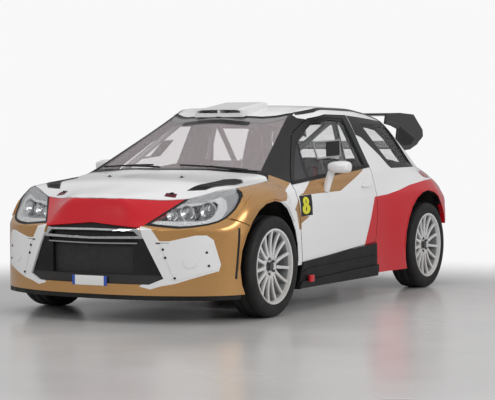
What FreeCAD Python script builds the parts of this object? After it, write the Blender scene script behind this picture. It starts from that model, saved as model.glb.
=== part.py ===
import FreeCAD, Part
import math
import os

import Sketcher
from FreeCAD import Placement, Rotation, Vector

# A three-door rally hatchback as an assembly of separate pieces, in millimetres.
# The nose points to -Y, +X is the car's left side and +Z is up. The origin lies on
# the ground under the middle of the car's length.

doc = FreeCAD.newDocument("rally_car")

# --- Driving sizes --------------------------------------------------------------

SIZES = [
    # alias, value, meaning
    ("wheelbase", 2461, "front axle to rear axle"),
    ("front_overhang", 765, "nose tip to front axle"),
    ("rear_overhang", 722, "rear axle to tail"),
    ("body_width", 1820, "width over the flared arches"),
    ("body_height", 1386, "ground to the crown of the roof"),
    ("side_wall", 45, "door and side wall thickness"),
    ("top_wall", 26, "roof and bonnet thickness"),
    ("bumper_wall", 30, "bumper thickness at nose and tail"),
    ("shut_gap", 5, "gap round a door or a lid"),
    ("seat_gap", 0.3, "fit between a piece and what carries it"),
    ("hinge_x", 848, "door hinge pin from the middle of the car"),
    ("hinge_pin_radius", 6, "door hinge pin"),
    ("hinge_height", 40, "height of one door hinge"),
    ("glass_thickness", 5, "all the windows"),
    ("glass_depth", 4, "window face below the panel face"),
    ("track", 1618, "left wheel centre to right wheel centre"),
    ("tyre_radius", 325, "tyre outer radius"),
    ("tyre_width", 200, "tyre section width"),
    ("tyre_chamfer", 22, "rounding of the tread's shoulder"),
    ("rim_radius", 243, "rim flange outer radius"),
    ("bead_radius", 230, "rim barrel outer radius, where the tyre sits"),
    ("barrel_wall", 8, "rim barrel wall"),
    ("spoke_count", 15, "spokes in a rim"),
    ("spoke_width", 17, "width of one spoke"),
    ("spoke_depth", 24, "depth of one spoke along the axle"),
    ("spoke_setback", 8, "spoke face behind the flange face"),
    ("hub_radius", 72, "centre of the rim"),
    ("hub_recess", 26, "centre face behind the spoke face"),
    ("disc_radius", 170, "brake disc outer radius"),
    ("disc_thickness", 28, "brake disc thickness"),
    ("disc_inset", 20, "brake disc from the wheel's middle, inboard"),
    ("spindle_radius", 26, "stub axle in the hub"),
    ("running_gap", 0.5, "play of the hub on its spindle"),
    ("pin_play", 0.9, "play of a hinge pin or a ball pin"),
    ("lid_rest", 0.9, "closed lid to the buffer under it"),
    ("arch_clearance", 75, "arch lip to tyre"),
    ("arch_lift", 17, "arch centre above the wheel centre"),
    ("tub_wall", 6, "wheel tub sheet"),
    ("tub_inner_x", 470, "inner wall of the wheel tubs"),
    ("kingpin_foot_x", 738, "steering axis at the lower ball joint"),
    ("kingpin_foot_z", 200, "height of the lower ball joint"),
    ("kingpin_top_x", 634, "steering axis at the strut's top"),
    ("kingpin_top_z", 795, "height of the strut's top"),
    ("ball_pin_radius", 12, "ball pin in the lower arm"),
    ("boot_radius", 38, "boot over the drive joint"),
    ("shaft_radius", 13, "drive shaft"),
    ("strut_radius", 27, "damper tube"),
    ("spring_radius", 52, "coil spring outside"),
    ("tower_gap", 14, "spring to the tower round it"),
    ("arm_thickness", 26, "suspension arm"),
    ("floor_height", 178, "underside of the floor"),
    ("floor_thickness", 16, "floor plate"),
    ("tunnel_height", 150, "tunnel above the floor"),
    ("tunnel_width", 190, "tunnel width"),
    ("cage_radius", 20, "roll cage tube"),
    ("engine_length_x", 620, "engine and gearbox across the car"),
    ("engine_depth_y", 420, "engine along the car"),
    ("engine_height", 480, "engine height"),
    ("exhaust_radius", 33, "exhaust pipe"),
    ("exhaust_wall", 3, "exhaust pipe wall"),
    ("muffler_radius", 78, "rear silencer"),
    ("wing_half_span", 555, "rear wing, half its span"),
    ("wing_plate", 14, "rear wing end plate"),
]

sheet = doc.addObject("Spreadsheet::Sheet", "Sizes")
for line, (alias, value, meaning) in enumerate(SIZES, start=1):
    sheet.set(f"A{line}", meaning)
    sheet.set(f"B{line}", str(value))
    sheet.setAlias(f"B{line}", alias)
doc.recompute()


def size(alias):
    return float(sheet.get(alias))


# --- The body's net -------------------------------------------------------------
# The body is drawn once, on a net of points for a car of the sizes below. along,
# across and upward carry a point of that net to the sizes of the sheet.

NET_WHEELBASE = 2461
NET_FRONT_OVERHANG = 765
NET_REAR_OVERHANG = 722
NET_WIDTH = 1820
NET_HEIGHT = 1386
NET_FRONT_AXLE = -1209
NET_REAR_AXLE = 1252

length = size("front_overhang") + size("wheelbase") + size("rear_overhang")
front_axle_y = size("front_overhang") - length / 2
rear_axle_y = front_axle_y + size("wheelbase")
wheel_x = size("track") / 2


def along(y):
    if y < NET_FRONT_AXLE:
        return front_axle_y + (y - NET_FRONT_AXLE) * size("front_overhang") / NET_FRONT_OVERHANG
    if y > NET_REAR_AXLE:
        return rear_axle_y + (y - NET_REAR_AXLE) * size("rear_overhang") / NET_REAR_OVERHANG
    return front_axle_y + (y - NET_FRONT_AXLE) * size("wheelbase") / NET_WHEELBASE


def across(x):
    return x * size("body_width") / NET_WIDTH


def upward(z):
    return z * size("body_height") / NET_HEIGHT


def at(x, y, z):
    return Vector(across(x), along(y), upward(z))


# --- Shape helpers --------------------------------------------------------------


def closed_wire(points):
    return Part.makePolygon(points + points[:1])


def grown(wire, distance):
    if not distance:
        return wire
    return wire.makeOffset2D(distance, 2)


def plan_prism(outline, low, high, grow=0):
    # outline: (x, y) points of the net, right round
    wire = grown(closed_wire([at(x, y, low) for x, y in outline]), grow)
    return Part.Face(wire).extrude(Vector(0, 0, upward(high) - upward(low)))


def side_prism(outline, inner, outer, grow=0):
    # outline: (y, z) points of the net; inner and outer: x of the two ends
    wire = grown(closed_wire([at(inner, y, z) for y, z in outline]), grow)
    return Part.Face(wire).extrude(Vector(across(outer) - across(inner), 0, 0))


def front_prism(outline, front, rear, grow=0):
    # outline: (x, z) points of the net; front and rear: y of the two ends
    wire = grown(closed_wire([at(x, front, z) for x, z in outline]), grow)
    return Part.Face(wire).extrude(Vector(0, along(rear) - along(front), 0))


def both_sides(half):
    # A half outline that starts and ends on the centre line, closed by its mirror
    return half + [(-x, other) for x, other in reversed(half) if x > 0]


def mirrored(shape):
    return shape.mirror(Vector(0, 0, 0), Vector(1, 0, 0))


def box_between(low, high):
    corner = Vector(*low)
    return Part.makeBox(high[0] - low[0], high[1] - low[1], high[2] - low[2], corner)


def rod(start, end, radius):
    axis = end - start
    return Part.makeCylinder(radius, axis.Length, start, axis)


def one_solid(shape):
    # The largest solid of a boolean's result, cleaned of seams
    solid = max(shape.Solids, key=lambda each: each.Volume)
    return solid.removeSplitter()


parts = {}


def both(left):
    return Part.makeCompound([left, mirrored(left)])


def add_part(name, shape):
    feature = doc.addObject("Part::Feature", name)
    feature.Label = name
    feature.Shape = shape
    feature.Placement = Placement(Vector(0, 0, 0), Rotation())
    parts[name] = feature
    return feature


# --- The body's outer and inner volumes -----------------------------------------

STATIONS = [
    # y, then x and z of eight lines up the side (bottom, low, mid, upper, shoulder,
    # belt, edge, crown), then the height of the centre line
    (-1974, (890, 176), (895, 300), (850, 430), (700, 500),
     (560, 525), (450, 535), (330, 545), (200, 553), 558),
    (-1943, (890, 176), (895, 300), (860, 440), (710, 520),
     (570, 560), (460, 580), (341, 596), (200, 622), 632),
    (-1892, (890, 176), (896, 300), (870, 460), (720, 545),
     (590, 582), (490, 598), (382, 614), (205, 752), 770),
    (-1829, (890, 176), (898, 300), (880, 480), (765, 565),
     (660, 590), (578, 600), (423, 657), (230, 780), 796),
    (-1660, (892, 176), (900, 300), (895, 500), (845, 600),
     (798, 655), (690, 740), (534, 768), (300, 816), 836),
    (-1520, (895, 176), (903, 320), (903, 560), (888, 690),
     (845, 768), (778, 825), (560, 850), (300, 866), 872),
    (-1209, (897, 176), (906, 320), (908, 600), (905, 738),
     (865, 800), (778, 852), (600, 882), (320, 902), 908),
    (-1000, (880, 170), (886, 320), (888, 600), (878, 745),
     (835, 815), (768, 866), (680, 900), (320, 942), 950),
    (-937, (868, 168), (872, 320), (872, 580), (865, 730),
     (830, 805), (775, 862), (692, 912), (400, 962), 986),
    (-740, (852, 168), (855, 320), (858, 560), (853, 710),
     (838, 790), (808, 852), (647, 1010), (370, 1068), 1094),
    (-350, (850, 168), (852, 320), (858, 560), (854, 710),
     (840, 795), (812, 870), (551, 1208), (300, 1271), 1306),
    (-160, (850, 168), (852, 320), (858, 560), (854, 710),
     (840, 795), (812, 885), (518, 1300), (300, 1332), 1342),
    (60, (850, 168), (852, 320), (858, 560), (854, 710),
     (840, 795), (812, 903), (583, 1342), (320, 1370), 1376),
    (550, (856, 168), (862, 320), (868, 560), (862, 710),
     (840, 800), (800, 930), (588, 1340), (320, 1376), 1386),
    (850, (885, 168), (892, 320), (895, 560), (882, 720),
     (842, 815), (790, 932), (583, 1312), (320, 1352), 1362),
    (1150, (895, 168), (903, 320), (906, 600), (902, 730),
     (852, 822), (772, 934), (566, 1264), (320, 1308), 1320),
    (1300, (897, 168), (906, 320), (908, 600), (904, 730),
     (852, 826), (750, 928), (640, 1100), (330, 1228), 1244),
    (1450, (892, 176), (902, 320), (905, 600), (900, 720),
     (842, 818), (742, 890), (700, 930), (340, 1098), 1114),
    (1650, (870, 190), (880, 320), (880, 560), (858, 690),
     (800, 790), (715, 862), (655, 895), (340, 935), 948),
    (1800, (840, 205), (850, 320), (850, 520), (825, 640),
     (770, 740), (700, 805), (640, 835), (340, 868), 878),
    (1880, (800, 215), (810, 320), (812, 480), (790, 580),
     (740, 660), (680, 690), (620, 705), (340, 722), 728),
    (1974, (760, 240), (770, 320), (772, 430), (750, 490),
     (700, 520), (640, 530), (560, 536), (340, 545), 548),
]

NOSE_TO_TAIL = [
    # Half the outline of the body seen from above, x and y
    (0, -1974), (200, -1965), (400, -1937), (570, -1876), (690, -1815), (780, -1750), (850, -1660),
    (893, -1560), (910, -1420), (910, 1440), (900, 1560), (870, 1680), (800, 1790), (700, 1868),
    (560, 1925), (350, 1962), (0, 1974),
]


def station_wire(station, side_inset, top_inset):
    y = station[0]
    bottom, low, mid, upper, shoulder, belt, edge, crown = station[1:9]
    centre = station[9]
    half = []
    for x, z in (bottom, low, mid, upper, shoulder, belt):
        half.append(at(x, y, z) - Vector(side_inset, 0, 0))
    half.append(at(edge[0], y, edge[1]) - Vector(side_inset, 0, top_inset))
    half.append(at(crown[0], y, crown[1]) - Vector(0, 0, top_inset))
    middle = [at(0, y, centre) - Vector(0, 0, top_inset)]
    floor = [at(0, y, bottom[1])]
    other = [Vector(-point.x, point.y, point.z) for point in reversed(half)]
    return closed_wire(floor + half + middle + other)


def body_volume(side_inset, top_inset, end_inset):
    wires = [station_wire(station, side_inset, top_inset) for station in STATIONS]
    volume = Part.makeLoft(wires, True, True)
    plan = plan_prism(both_sides(NOSE_TO_TAIL), 100, 1500, -end_inset)
    return volume.common(plan)


outer = body_volume(0, 0, 0)
inner = body_volume(size("side_wall"), size("top_wall"), size("bumper_wall"))
shell = outer.cut(inner)


# --- Panel outlines -------------------------------------------------------------
# Every fixed panel and lid is the part of the shell inside an outline of the net.

BONNET = [  # x, y
    (0, -1888), (205, -1868), (400, -1775), (534, -1660), (640, -1590), (772, -1500), (774, -1209),
    (762, -1040), (720, -990), (655, -985), (400, -1048), (0, -1088),
]
WINDSCREEN = [(0, -1062), (400, -1020), (676, -938), (479, -148), (300, -288), (0, -350)]
SCUTTLE = [
    (0, -1088), (400, -1048), (655, -985), (720, -990), (762, -1040), (700, -925), (676, -938),
    (400, -1020), (0, -1062),
]
ROOF = [(0, -350), (300, -288), (479, -148), (545, 0), (556, 500), (540, 1190), (0, 1215)]
TAILGATE = [(0, 1215), (520, 1195), (575, 1300), (632, 1450), (612, 1650), (590, 1990), (0, 1990)]
REAR_WINDOW = [(0, 1255), (468, 1240), (520, 1315), (572, 1450), (552, 1590), (0, 1640)]
TAILGATE_BOTTOM = 625

BUMPER = [  # y, z
    (-1990, 100), (-1300, 100), (-1300, 602), (-1530, 602), (-1652, 645), (-1652, 1000), (-1990, 1000),
]
LOCK_PANEL = [(0, -1912), (250, -1885), (250, -1840), (0, -1855)]  # x, y, under the bonnet's nose
FENDER = [
    (-1530, 602), (-1652, 645), (-1652, 1000), (-950, 1000), (-938, 914), (-812, 842), (-738, 312),
    (-740, 303), (-1000, 303), (-1209, 602),
]
BODY_SIDE = [
    (-800, 150), (-740, 303), (-700, 312), (-770, 842), (-812, 842), (-938, 914), (-950, 1000),
    (-950, 1500), (1990, 1500), (1990, TAILGATE_BOTTOM), (1500, TAILGATE_BOTTOM), (1500, 150),
]
REAR_BUMPER = [(1500, 150), (1500, TAILGATE_BOTTOM), (1990, TAILGATE_BOTTOM), (1990, 150)]
LATCH_PANEL = [(0, 1870), (160, 1870), (160, 1950), (0, 1950)]  # x, y, inside the tailgate's foot
DOOR = [
    (-738, 312), (-812, 842), (-372, 1172), (-95, 1280), (90, 1310), (418, 1308), (425, 930), (425, 600),
    (398, 392),
]
DOOR_REAR = (418, 425, 425, 398)  # y of the door's points on its bevelled rear edge
DOOR_WINDOW = [(-768, 846), (-350, 1138), (-80, 1262), (100, 1288), (330, 1280), (354, 938)]
QUARTER_WINDOW = [(590, 1240), (820, 942), (1280, 944), (1142, 1241)]
HEADLAMP = [  # x, z
    (380, 612), (534, 768), (534, 900), (842, 900), (842, 795), (805, 650), (650, 608), (578, 597),
]
HEADLAMP_REAR_Y = -1500
GRILLE_MOUTH = [(0, 622), (345, 594), (500, 282), (412, 244), (0, 244)]
TAIL_LAMP = [(650, 700), (650, 850), (800, 850), (830, 700)]

arch_radius = size("tyre_radius") + size("arch_clearance")
arch_z = size("tyre_radius") + size("arch_lift")
wheel_z = size("tyre_radius")
side_reach = size("body_width") / 2 + 50


def across_cylinder(y, z, radius, low_x, high_x):
    return Part.makeCylinder(radius, high_x - low_x, Vector(low_x, y, z), Vector(1, 0, 0))


def arch_cut(axle_y, radius):
    left = across_cylinder(axle_y, arch_z, radius, size("tub_inner_x"), side_reach)
    return left.fuse(mirrored(left))


def door_prism(grow):
    # The rear edge is bevelled, so that the frame's top clears the pillar as it opens
    bevel = 0.15
    wires = []
    for x in (400, 1000):
        shift = bevel * (x - 812)
        points = [at(x, y + (shift if y in DOOR_REAR else 0), z) for y, z in DOOR]
        wires.append(grown(closed_wire(points), grow))
    return Part.makeLoft(wires, True, True)


HINGE_HEIGHTS = (500, 615)  # middle of each door hinge
HINGE_Y = -808
HINGE_LEG = 58  # from the pin in to the strap that runs back to the door
hinge_y = along(HINGE_Y)
hinge_x = size("hinge_x")
hinge_bore = size("hinge_pin_radius") + size("pin_play")
HINGE_EYE_WALL = 3
HINGE_STRAP = 12  # thickness of the strap


def hinge_span(height, margin):
    middle = upward(height)
    reach = size("hinge_height") / 2 + margin
    return middle - reach, middle + reach


def hinge_pocket(height):
    # Room in the fender for one hinge's strap, open to the door's front edge
    low, high = hinge_span(height, size("shut_gap"))
    reach = hinge_bore + HINGE_EYE_WALL + 1.5
    return box_between((hinge_x - 100, hinge_y - reach, low), (hinge_x + reach, along(-700), high))


def hinge_pins():
    pins = []
    for height in HINGE_HEIGHTS:
        low, high = hinge_span(height, 2 * size("shut_gap"))
        foot, top = Vector(hinge_x, hinge_y, low), Vector(hinge_x, hinge_y, high)
        pins.append(rod(foot, top, size("hinge_pin_radius")))
    return pins


def door_hinge(height):
    # A goosenecked strap, so that it swings out through the door's opening
    low, high = hinge_span(height, 0)
    half = HINGE_STRAP / 2
    leg_x = hinge_x - HINGE_LEG
    door_y = along(-732)
    eye = rod(Vector(hinge_x, hinge_y, low), Vector(hinge_x, hinge_y, high), hinge_bore + HINGE_EYE_WALL)
    strap = box_between((leg_x, hinge_y - half, low), (hinge_x, hinge_y + half, high))
    strap = strap.fuse(box_between((leg_x, hinge_y - half, low), (leg_x + HINGE_STRAP, door_y, high)))
    strap = strap.fuse(
        box_between((leg_x, door_y - HINGE_STRAP, low), (hinge_x - size("side_wall") / 2, door_y, high))
    )
    bore = rod(Vector(hinge_x, hinge_y, low - 1), Vector(hinge_x, hinge_y, high + 1), hinge_bore)
    return strap.fuse(eye).cut(bore)


arches = arch_cut(front_axle_y, arch_radius).fuse(arch_cut(rear_axle_y, arch_radius))
fixed_shell = shell.cut(arches)
bonnet_cut = plan_prism(both_sides(BONNET), 560, 1100)
screen_cut = plan_prism(both_sides(WINDSCREEN), 700, 1500)
scuttle_cut = plan_prism(both_sides(SCUTTLE), 700, 1500)
roof_cut = plan_prism(both_sides(ROOF), 1150, 1500)
tailgate_cut = plan_prism(both_sides(TAILGATE), TAILGATE_BOTTOM, 1500)
headlamp_cut = front_prism(HEADLAMP, -1950, HEADLAMP_REAR_Y)
headlamp_cut = headlamp_cut.cut(bonnet_cut)
headlamps_cut = headlamp_cut.fuse(mirrored(headlamp_cut))
door_cut = door_prism(0).cut(roof_cut)

# --- Fixed panels ---------------------------------------------------------------

bumper = fixed_shell.common(side_prism(BUMPER, -930, 930))
bumper = bumper.cut(bonnet_cut).cut(headlamps_cut)
bumper = bumper.cut(front_prism(both_sides(GRILLE_MOUTH), -1990, -1800))
lock_panel = plan_prism(both_sides(LOCK_PANEL), 690, 900)
lock_panel = lock_panel.common(outer.translated(Vector(0, 0, -size("top_wall") - size("lid_rest"))))
add_part("front_bumper", one_solid(bumper.fuse(lock_panel)))

fender = fixed_shell.common(side_prism(FENDER, 300, 930))
fender = fender.cut(bonnet_cut).cut(headlamp_cut).cut(scuttle_cut).cut(screen_cut)
for height in HINGE_HEIGHTS:
    fender = fender.cut(hinge_pocket(height))
fender = one_solid(fender.fuse(hinge_pins()))
add_part("front_fender_left", fender)
add_part("front_fender_right", mirrored(fender))

lamp = one_solid(shell.common(headlamp_cut))
add_part("headlamps", both(lamp))

side = fixed_shell.common(side_prism(BODY_SIDE, 300, 930))
side = side.cut(screen_cut).cut(roof_cut).cut(tailgate_cut).cut(scuttle_cut).cut(door_cut)
side = side.cut(side_prism(QUARTER_WINDOW, 300, 930))
tail_lamp_cut = front_prism(TAIL_LAMP, 1600, 1990)
tail_lamp = one_solid(side.common(tail_lamp_cut))
side = one_solid(side.cut(tail_lamp_cut))
add_part("body_side_left", side)
add_part("body_side_right", mirrored(side))
add_part("tail_lamps", both(tail_lamp))

add_part("roof_panel", one_solid(shell.common(roof_cut)))

rear_bumper = fixed_shell.common(side_prism(REAR_BUMPER, -930, 930))
latch = plan_prism(both_sides(LATCH_PANEL), 570, 700)
latch = latch.common(inner.translated(Vector(0, 0, -2 * size("lid_rest"))))
latch_foot = plan_prism(both_sides(LATCH_PANEL), 570, 610).common(outer)
add_part("rear_bumper", one_solid(rear_bumper.fuse([latch, latch_foot])))


# --- Doors, lids and glass ------------------------------------------------------

gap = size("shut_gap")
fit = size("seat_gap")

door = shell.common(door_prism(-gap)).cut(plan_prism(both_sides(ROOF), 1150, 1500, gap))
door = door.cut(side_prism(DOOR_WINDOW, 300, 930))
door = one_solid(door.fuse([door_hinge(height) for height in HINGE_HEIGHTS]))
add_part("door_left", door)
add_part("door_right", mirrored(door))

bonnet = shell.common(plan_prism(both_sides(BONNET), 560, 1100, -gap))
bonnet = one_solid(bonnet.cut(outer.translated(Vector(0, 0, -size("top_wall")))))
add_part("bonnet", bonnet)

tailgate_net_gap = gap * NET_HEIGHT / size("body_height")
tailgate = shell.common(plan_prism(both_sides(TAILGATE), TAILGATE_BOTTOM + tailgate_net_gap, 1500, -gap))
tailgate = tailgate.cut(plan_prism(both_sides(REAR_WINDOW), 900, 1500))
add_part("tailgate", one_solid(tailgate))


def glass_sheet(inward):
    # A sheet of the outer surface, moved in by the depth of the glass
    face = outer.translated(inward * size("glass_depth"))
    back = outer.translated(inward * (size("glass_depth") + size("glass_thickness")))
    return face.cut(back)


down_glass = glass_sheet(Vector(0, 0, -1))
side_glass = glass_sheet(Vector(-1, 0, 0))
windscreen = down_glass.common(plan_prism(both_sides(WINDSCREEN), 700, 1500, -fit))
add_part("windscreen", one_solid(windscreen))
rear_window = down_glass.common(plan_prism(both_sides(REAR_WINDOW), 900, 1500, -fit))
add_part("rear_window", one_solid(rear_window))
door_glass = one_solid(side_glass.common(side_prism(DOOR_WINDOW, 300, 930, -fit)))
add_part("door_glass_left", door_glass)
add_part("door_glass_right", mirrored(door_glass))
quarter_glass = one_solid(side_glass.common(side_prism(QUARTER_WINDOW, 300, 930, -fit)))
add_part("quarter_windows", both(quarter_glass))

# --- Grille, radiator, splitter and skirts --------------------------------------

GRILLE_SETBACK = 12
GRILLE_THICKNESS = 16
RADIATOR_MOUTH = [(302, 492), (300, 305), (-300, 305), (-302, 492)]  # x, z
GRILLE_SLOTS = [(530, 512), (562, 546), (596, 578)]  # top and bottom z
SPLITTER_LOW = 148
SPLITTER_TOP = 176
SPLITTER_REAR_Y = -1602
SKIRT = [(-822, 164), (-752, 300), (398, 381), (412, 168)]  # y, z
SKIRT_FACE = [(-812, 170), (-770, 262), (385, 330), (400, 174)]

grille_band = plan_prism(both_sides(NOSE_TO_TAIL), 100, 800, -GRILLE_SETBACK)
grille_band = grille_band.cut(
    plan_prism(both_sides(NOSE_TO_TAIL), 100, 800, -GRILLE_SETBACK - GRILLE_THICKNESS)
)
grille = grille_band.common(front_prism(both_sides(GRILLE_MOUTH), -1990, -1800, -fit)).common(outer)
grille = grille.cut(front_prism(RADIATOR_MOUTH, -1990, -1800))
for top, low in GRILLE_SLOTS:
    slot = [(300, top), (308, low), (-308, low), (-300, top)]
    grille = grille.cut(front_prism(slot, -1990, -1800))
add_part("grille", one_solid(grille))

radiator = box_between(at(-312, -1900, 288), at(312, -1850, 506))
bracket = box_between(at(312, -1890, 400), at(400, -1866, 440))
add_part("radiator", radiator.fuse(bracket).fuse(mirrored(bracket)).removeSplitter())

splitter = plan_prism(both_sides(NOSE_TO_TAIL), SPLITTER_LOW, SPLITTER_TOP)
splitter = splitter.common(
    box_between((-side_reach, -length, 0), (side_reach, along(SPLITTER_REAR_Y), upward(SPLITTER_TOP)))
)
add_part("splitter", one_solid(splitter))

skirt_back = closed_wire([at(800, y, z) for y, z in SKIRT])
skirt_front = closed_wire([at(888, y, z) for y, z in SKIRT_FACE])
skirt = one_solid(Part.makeLoft([skirt_back, skirt_front], True, True).cut(outer))
add_part("side_skirts", both(skirt))

# --- Floor, tubs and bulkhead ---------------------------------------------------

floor_low = size("floor_height")
floor_top = floor_low + size("floor_thickness")
tub_x = size("tub_inner_x")
tub_radius = arch_radius + size("tub_wall")
tub_low = size("kingpin_foot_z") + size("arm_thickness") / 2 + 12
BULKHEAD_Y = -870
bulkhead_y = along(BULKHEAD_Y)
rear_step_y = along(884)
rear_deck_z = upward(360)
rail_low = upward(380)
rail_top = upward(450)
rail_inner_x = across(400)
rail_outer_x = across(452)

kingpin_foot = Vector(size("kingpin_foot_x"), 0, size("kingpin_foot_z"))
kingpin_top = Vector(size("kingpin_top_x"), 0, size("kingpin_top_z"))


def on_axle(point, axle_y):
    return Vector(point.x, axle_y, point.z)


def kingpin_point(height):
    share = (height - kingpin_foot.z) / (kingpin_top.z - kingpin_foot.z)
    return kingpin_foot + (kingpin_top - kingpin_foot) * share


TOWER_CAP = 8  # sheet over the tower's top
SHAFT_HOLE = 60  # radius of the hole in the tub round the drive shaft


def wheel_tub(axle_y):
    # A half drum over the wheel, its inner wall, and the tower that holds the strut
    wall = size("tub_wall")
    drum = across_cylinder(axle_y, arch_z, tub_radius, tub_x, side_reach)
    drum = drum.cut(across_cylinder(axle_y, arch_z, arch_radius, tub_x + wall, side_reach))
    above_floor = box_between(
        (0, axle_y - 2 * arch_radius, tub_low), (side_reach, axle_y + 2 * arch_radius, upward(1200))
    )
    tub = drum.common(above_floor).common(inner)
    tub = tub.cut(across_cylinder(axle_y, wheel_z, SHAFT_HOLE, tub_x - 1, tub_x + wall + 1))
    tower_radius = size("spring_radius") + size("tower_gap")
    start = on_axle(kingpin_point(arch_z + arch_radius - 40), axle_y)
    up = (on_axle(kingpin_top, axle_y) - start).normalize()
    end = on_axle(kingpin_top, axle_y) + up * size("running_gap")
    cap = end + up * TOWER_CAP
    tub = tub.cut(rod(start, cap, tower_radius))
    tower = rod(start, cap, tower_radius + wall).cut(rod(start, end, tower_radius))
    tower = tower.cut(across_cylinder(axle_y, arch_z, arch_radius, tub_x + wall, side_reach))
    return one_solid(tub.fuse(tower))


def floor_plate(low, high):
    return box_between(low, high).common(inner)


main_floor = floor_plate((-side_reach, bulkhead_y, floor_low), (side_reach, rear_step_y, floor_top))
tunnel_half = size("tunnel_width") / 2
tunnel_top = floor_top + size("tunnel_height")
plate = size("floor_thickness")
tunnel = box_between((-tunnel_half, bulkhead_y, floor_low), (tunnel_half, rear_step_y, tunnel_top))
tunnel_void = box_between(
    (plate - tunnel_half, bulkhead_y - 1, 0),
    (tunnel_half - plate, rear_step_y + plate + 1, tunnel_top - plate),
)
bulkhead = floor_plate(
    (-side_reach, bulkhead_y - plate, floor_low), (side_reach, bulkhead_y, upward(872))
)
rear_step = floor_plate(
    (-side_reach, rear_step_y, floor_low), (side_reach, rear_step_y + plate, rear_deck_z + plate)
)
rear_deck = floor_plate((-tub_x, rear_step_y, rear_deck_z), (tub_x, along(1990), rear_deck_z + plate))
floor = main_floor.fuse([tunnel, bulkhead, rear_step, rear_deck]).cut(tunnel_void)
for axle_y in (front_axle_y, rear_axle_y):
    for sign in (1, -1):
        low_x, high_x = sorted((sign * tub_x, sign * side_reach))
        floor = floor.cut(across_cylinder(axle_y, arch_z, arch_radius, low_x, high_x))
rail = box_between((rail_inner_x, along(-1884), rail_low), (rail_outer_x, bulkhead_y - plate, rail_top))
brace = box_between(
    (rail_outer_x, front_axle_y - 150, rail_low), (tub_x, front_axle_y - 110, rail_top)
)
floor = one_solid(floor.fuse([rail, mirrored(rail), brace, mirrored(brace)]))
add_part("floor_pan", floor)
for end, axle_y in (("front", front_axle_y), ("rear", rear_axle_y)):
    tub = one_solid(wheel_tub(axle_y).cut(floor))
    add_part(f"{end}_wheel_tubs", both(tub))

scuttle = shell.common(scuttle_cut)
shelf = plan_prism(both_sides([(0, -1086), (400, -1046), (640, -984), (640, -872), (0, -872)]), 872, 882)
riser = plan_prism(both_sides([(0, -1086), (400, -1046), (400, -1036), (0, -1076)]), 872, 900)
scuttle = scuttle.fuse(shelf.common(inner)).fuse(riser.common(inner))
add_part("scuttle", one_solid(scuttle))

# --- Subframes, arms and axles --------------------------------------------------

subframe_low = floor_low + 22
subframe_top = subframe_low + 44
arm_low = size("kingpin_foot_z") - size("arm_thickness") / 2
pin_radius = size("ball_pin_radius")
arm_boss_radius = pin_radius + 14
arm_pivot_x = 352


def suspension_arm(axle_y):
    low = Vector(0, axle_y, arm_low)
    outline = [
        low + Vector(arm_pivot_x, -150, 0), low + Vector(arm_pivot_x, -105, 0),
        low + Vector(kingpin_foot.x - 60, 0, 0), low + Vector(arm_pivot_x, 105, 0),
        low + Vector(arm_pivot_x, 150, 0), low + Vector(kingpin_foot.x, 24, 0),
        low + Vector(kingpin_foot.x, -24, 0),
    ]
    arm = Part.Face(closed_wire(outline)).extrude(Vector(0, 0, size("arm_thickness")))
    arm_top = arm_low + size("arm_thickness")
    boss_low = on_axle(kingpin_point(arm_low - 2), axle_y)
    boss_top = on_axle(kingpin_point(arm_top + 2), axle_y)
    bore_low = on_axle(kingpin_point(arm_low - 12), axle_y)
    bore_top = on_axle(kingpin_point(arm_top + 12), axle_y)
    bore = rod(bore_low, bore_top, pin_radius + size("pin_play"))
    return arm.fuse(rod(boss_low, boss_top, arm_boss_radius)).cut(bore)


def drive_shaft(axle_y, inner_x):
    end_x = kingpin_point(wheel_z).x - size("boot_radius") - 6
    return across_cylinder(axle_y, wheel_z, size("shaft_radius"), inner_x, end_x)


engine_half_x = size("engine_length_x") / 2
subframe = box_between(
    (-arm_pivot_x, front_axle_y - 190, subframe_low - 22), (arm_pivot_x, front_axle_y + 190, subframe_top)
)
subframe_pieces = []
for sign in (1, -1):
    post_x = sorted((sign * rail_inner_x, sign * (arm_pivot_x - 40)))
    for post_y in (front_axle_y - 170, front_axle_y + 130):
        foot = box_between((post_x[0], post_y, subframe_top - 20), (post_x[1], post_y + 40, rail_top))
        subframe_pieces.append(foot)
left_arm = suspension_arm(front_axle_y)
add_part("front_subframe", one_solid(subframe.fuse(subframe_pieces + [left_arm, mirrored(left_arm)])))

engine = box_between(
    (-engine_half_x, front_axle_y - size("engine_depth_y") + 40, subframe_top),
    (engine_half_x, front_axle_y + 40, subframe_top + size("engine_height")),
)
front_shaft = drive_shaft(front_axle_y, engine_half_x - 1)
add_part("engine", one_solid(engine.fuse([front_shaft, mirrored(front_shaft)])))

guard = plan_prism(both_sides([(0, -1597), (330, -1597), (340, -1400), (340, -1000), (0, -1000)]), 158, 166)
spacer = box_between(
    (-arm_pivot_x + 60, front_axle_y - 150, upward(166)),
    (arm_pivot_x - 60, front_axle_y + 150, subframe_low - 22),
)
add_part("sump_guard", one_solid(guard.fuse(spacer)))

diff_half = 110
rear_frame = box_between(
    (-arm_pivot_x, rear_axle_y - 150, subframe_low - 22), (arm_pivot_x, rear_axle_y + 150, subframe_top)
)
diff = box_between(
    (-diff_half, rear_axle_y - 100, subframe_top), (diff_half, rear_axle_y + 90, rear_deck_z)
)
rear_shaft = drive_shaft(rear_axle_y, diff_half - 1)
rear_arm = suspension_arm(rear_axle_y)
hangers = []
for sign in (1, -1):
    post_x = sorted((sign * arm_pivot_x, sign * (arm_pivot_x - 40)))
    hangers.append(
        box_between((post_x[0], rear_axle_y + 100, subframe_top), (post_x[1], rear_axle_y + 140, rear_deck_z))
    )
rear_pieces = [diff, rear_shaft, mirrored(rear_shaft), rear_arm, mirrored(rear_arm)] + hangers
add_part("rear_axle", one_solid(rear_frame.fuse(rear_pieces)))


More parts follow.
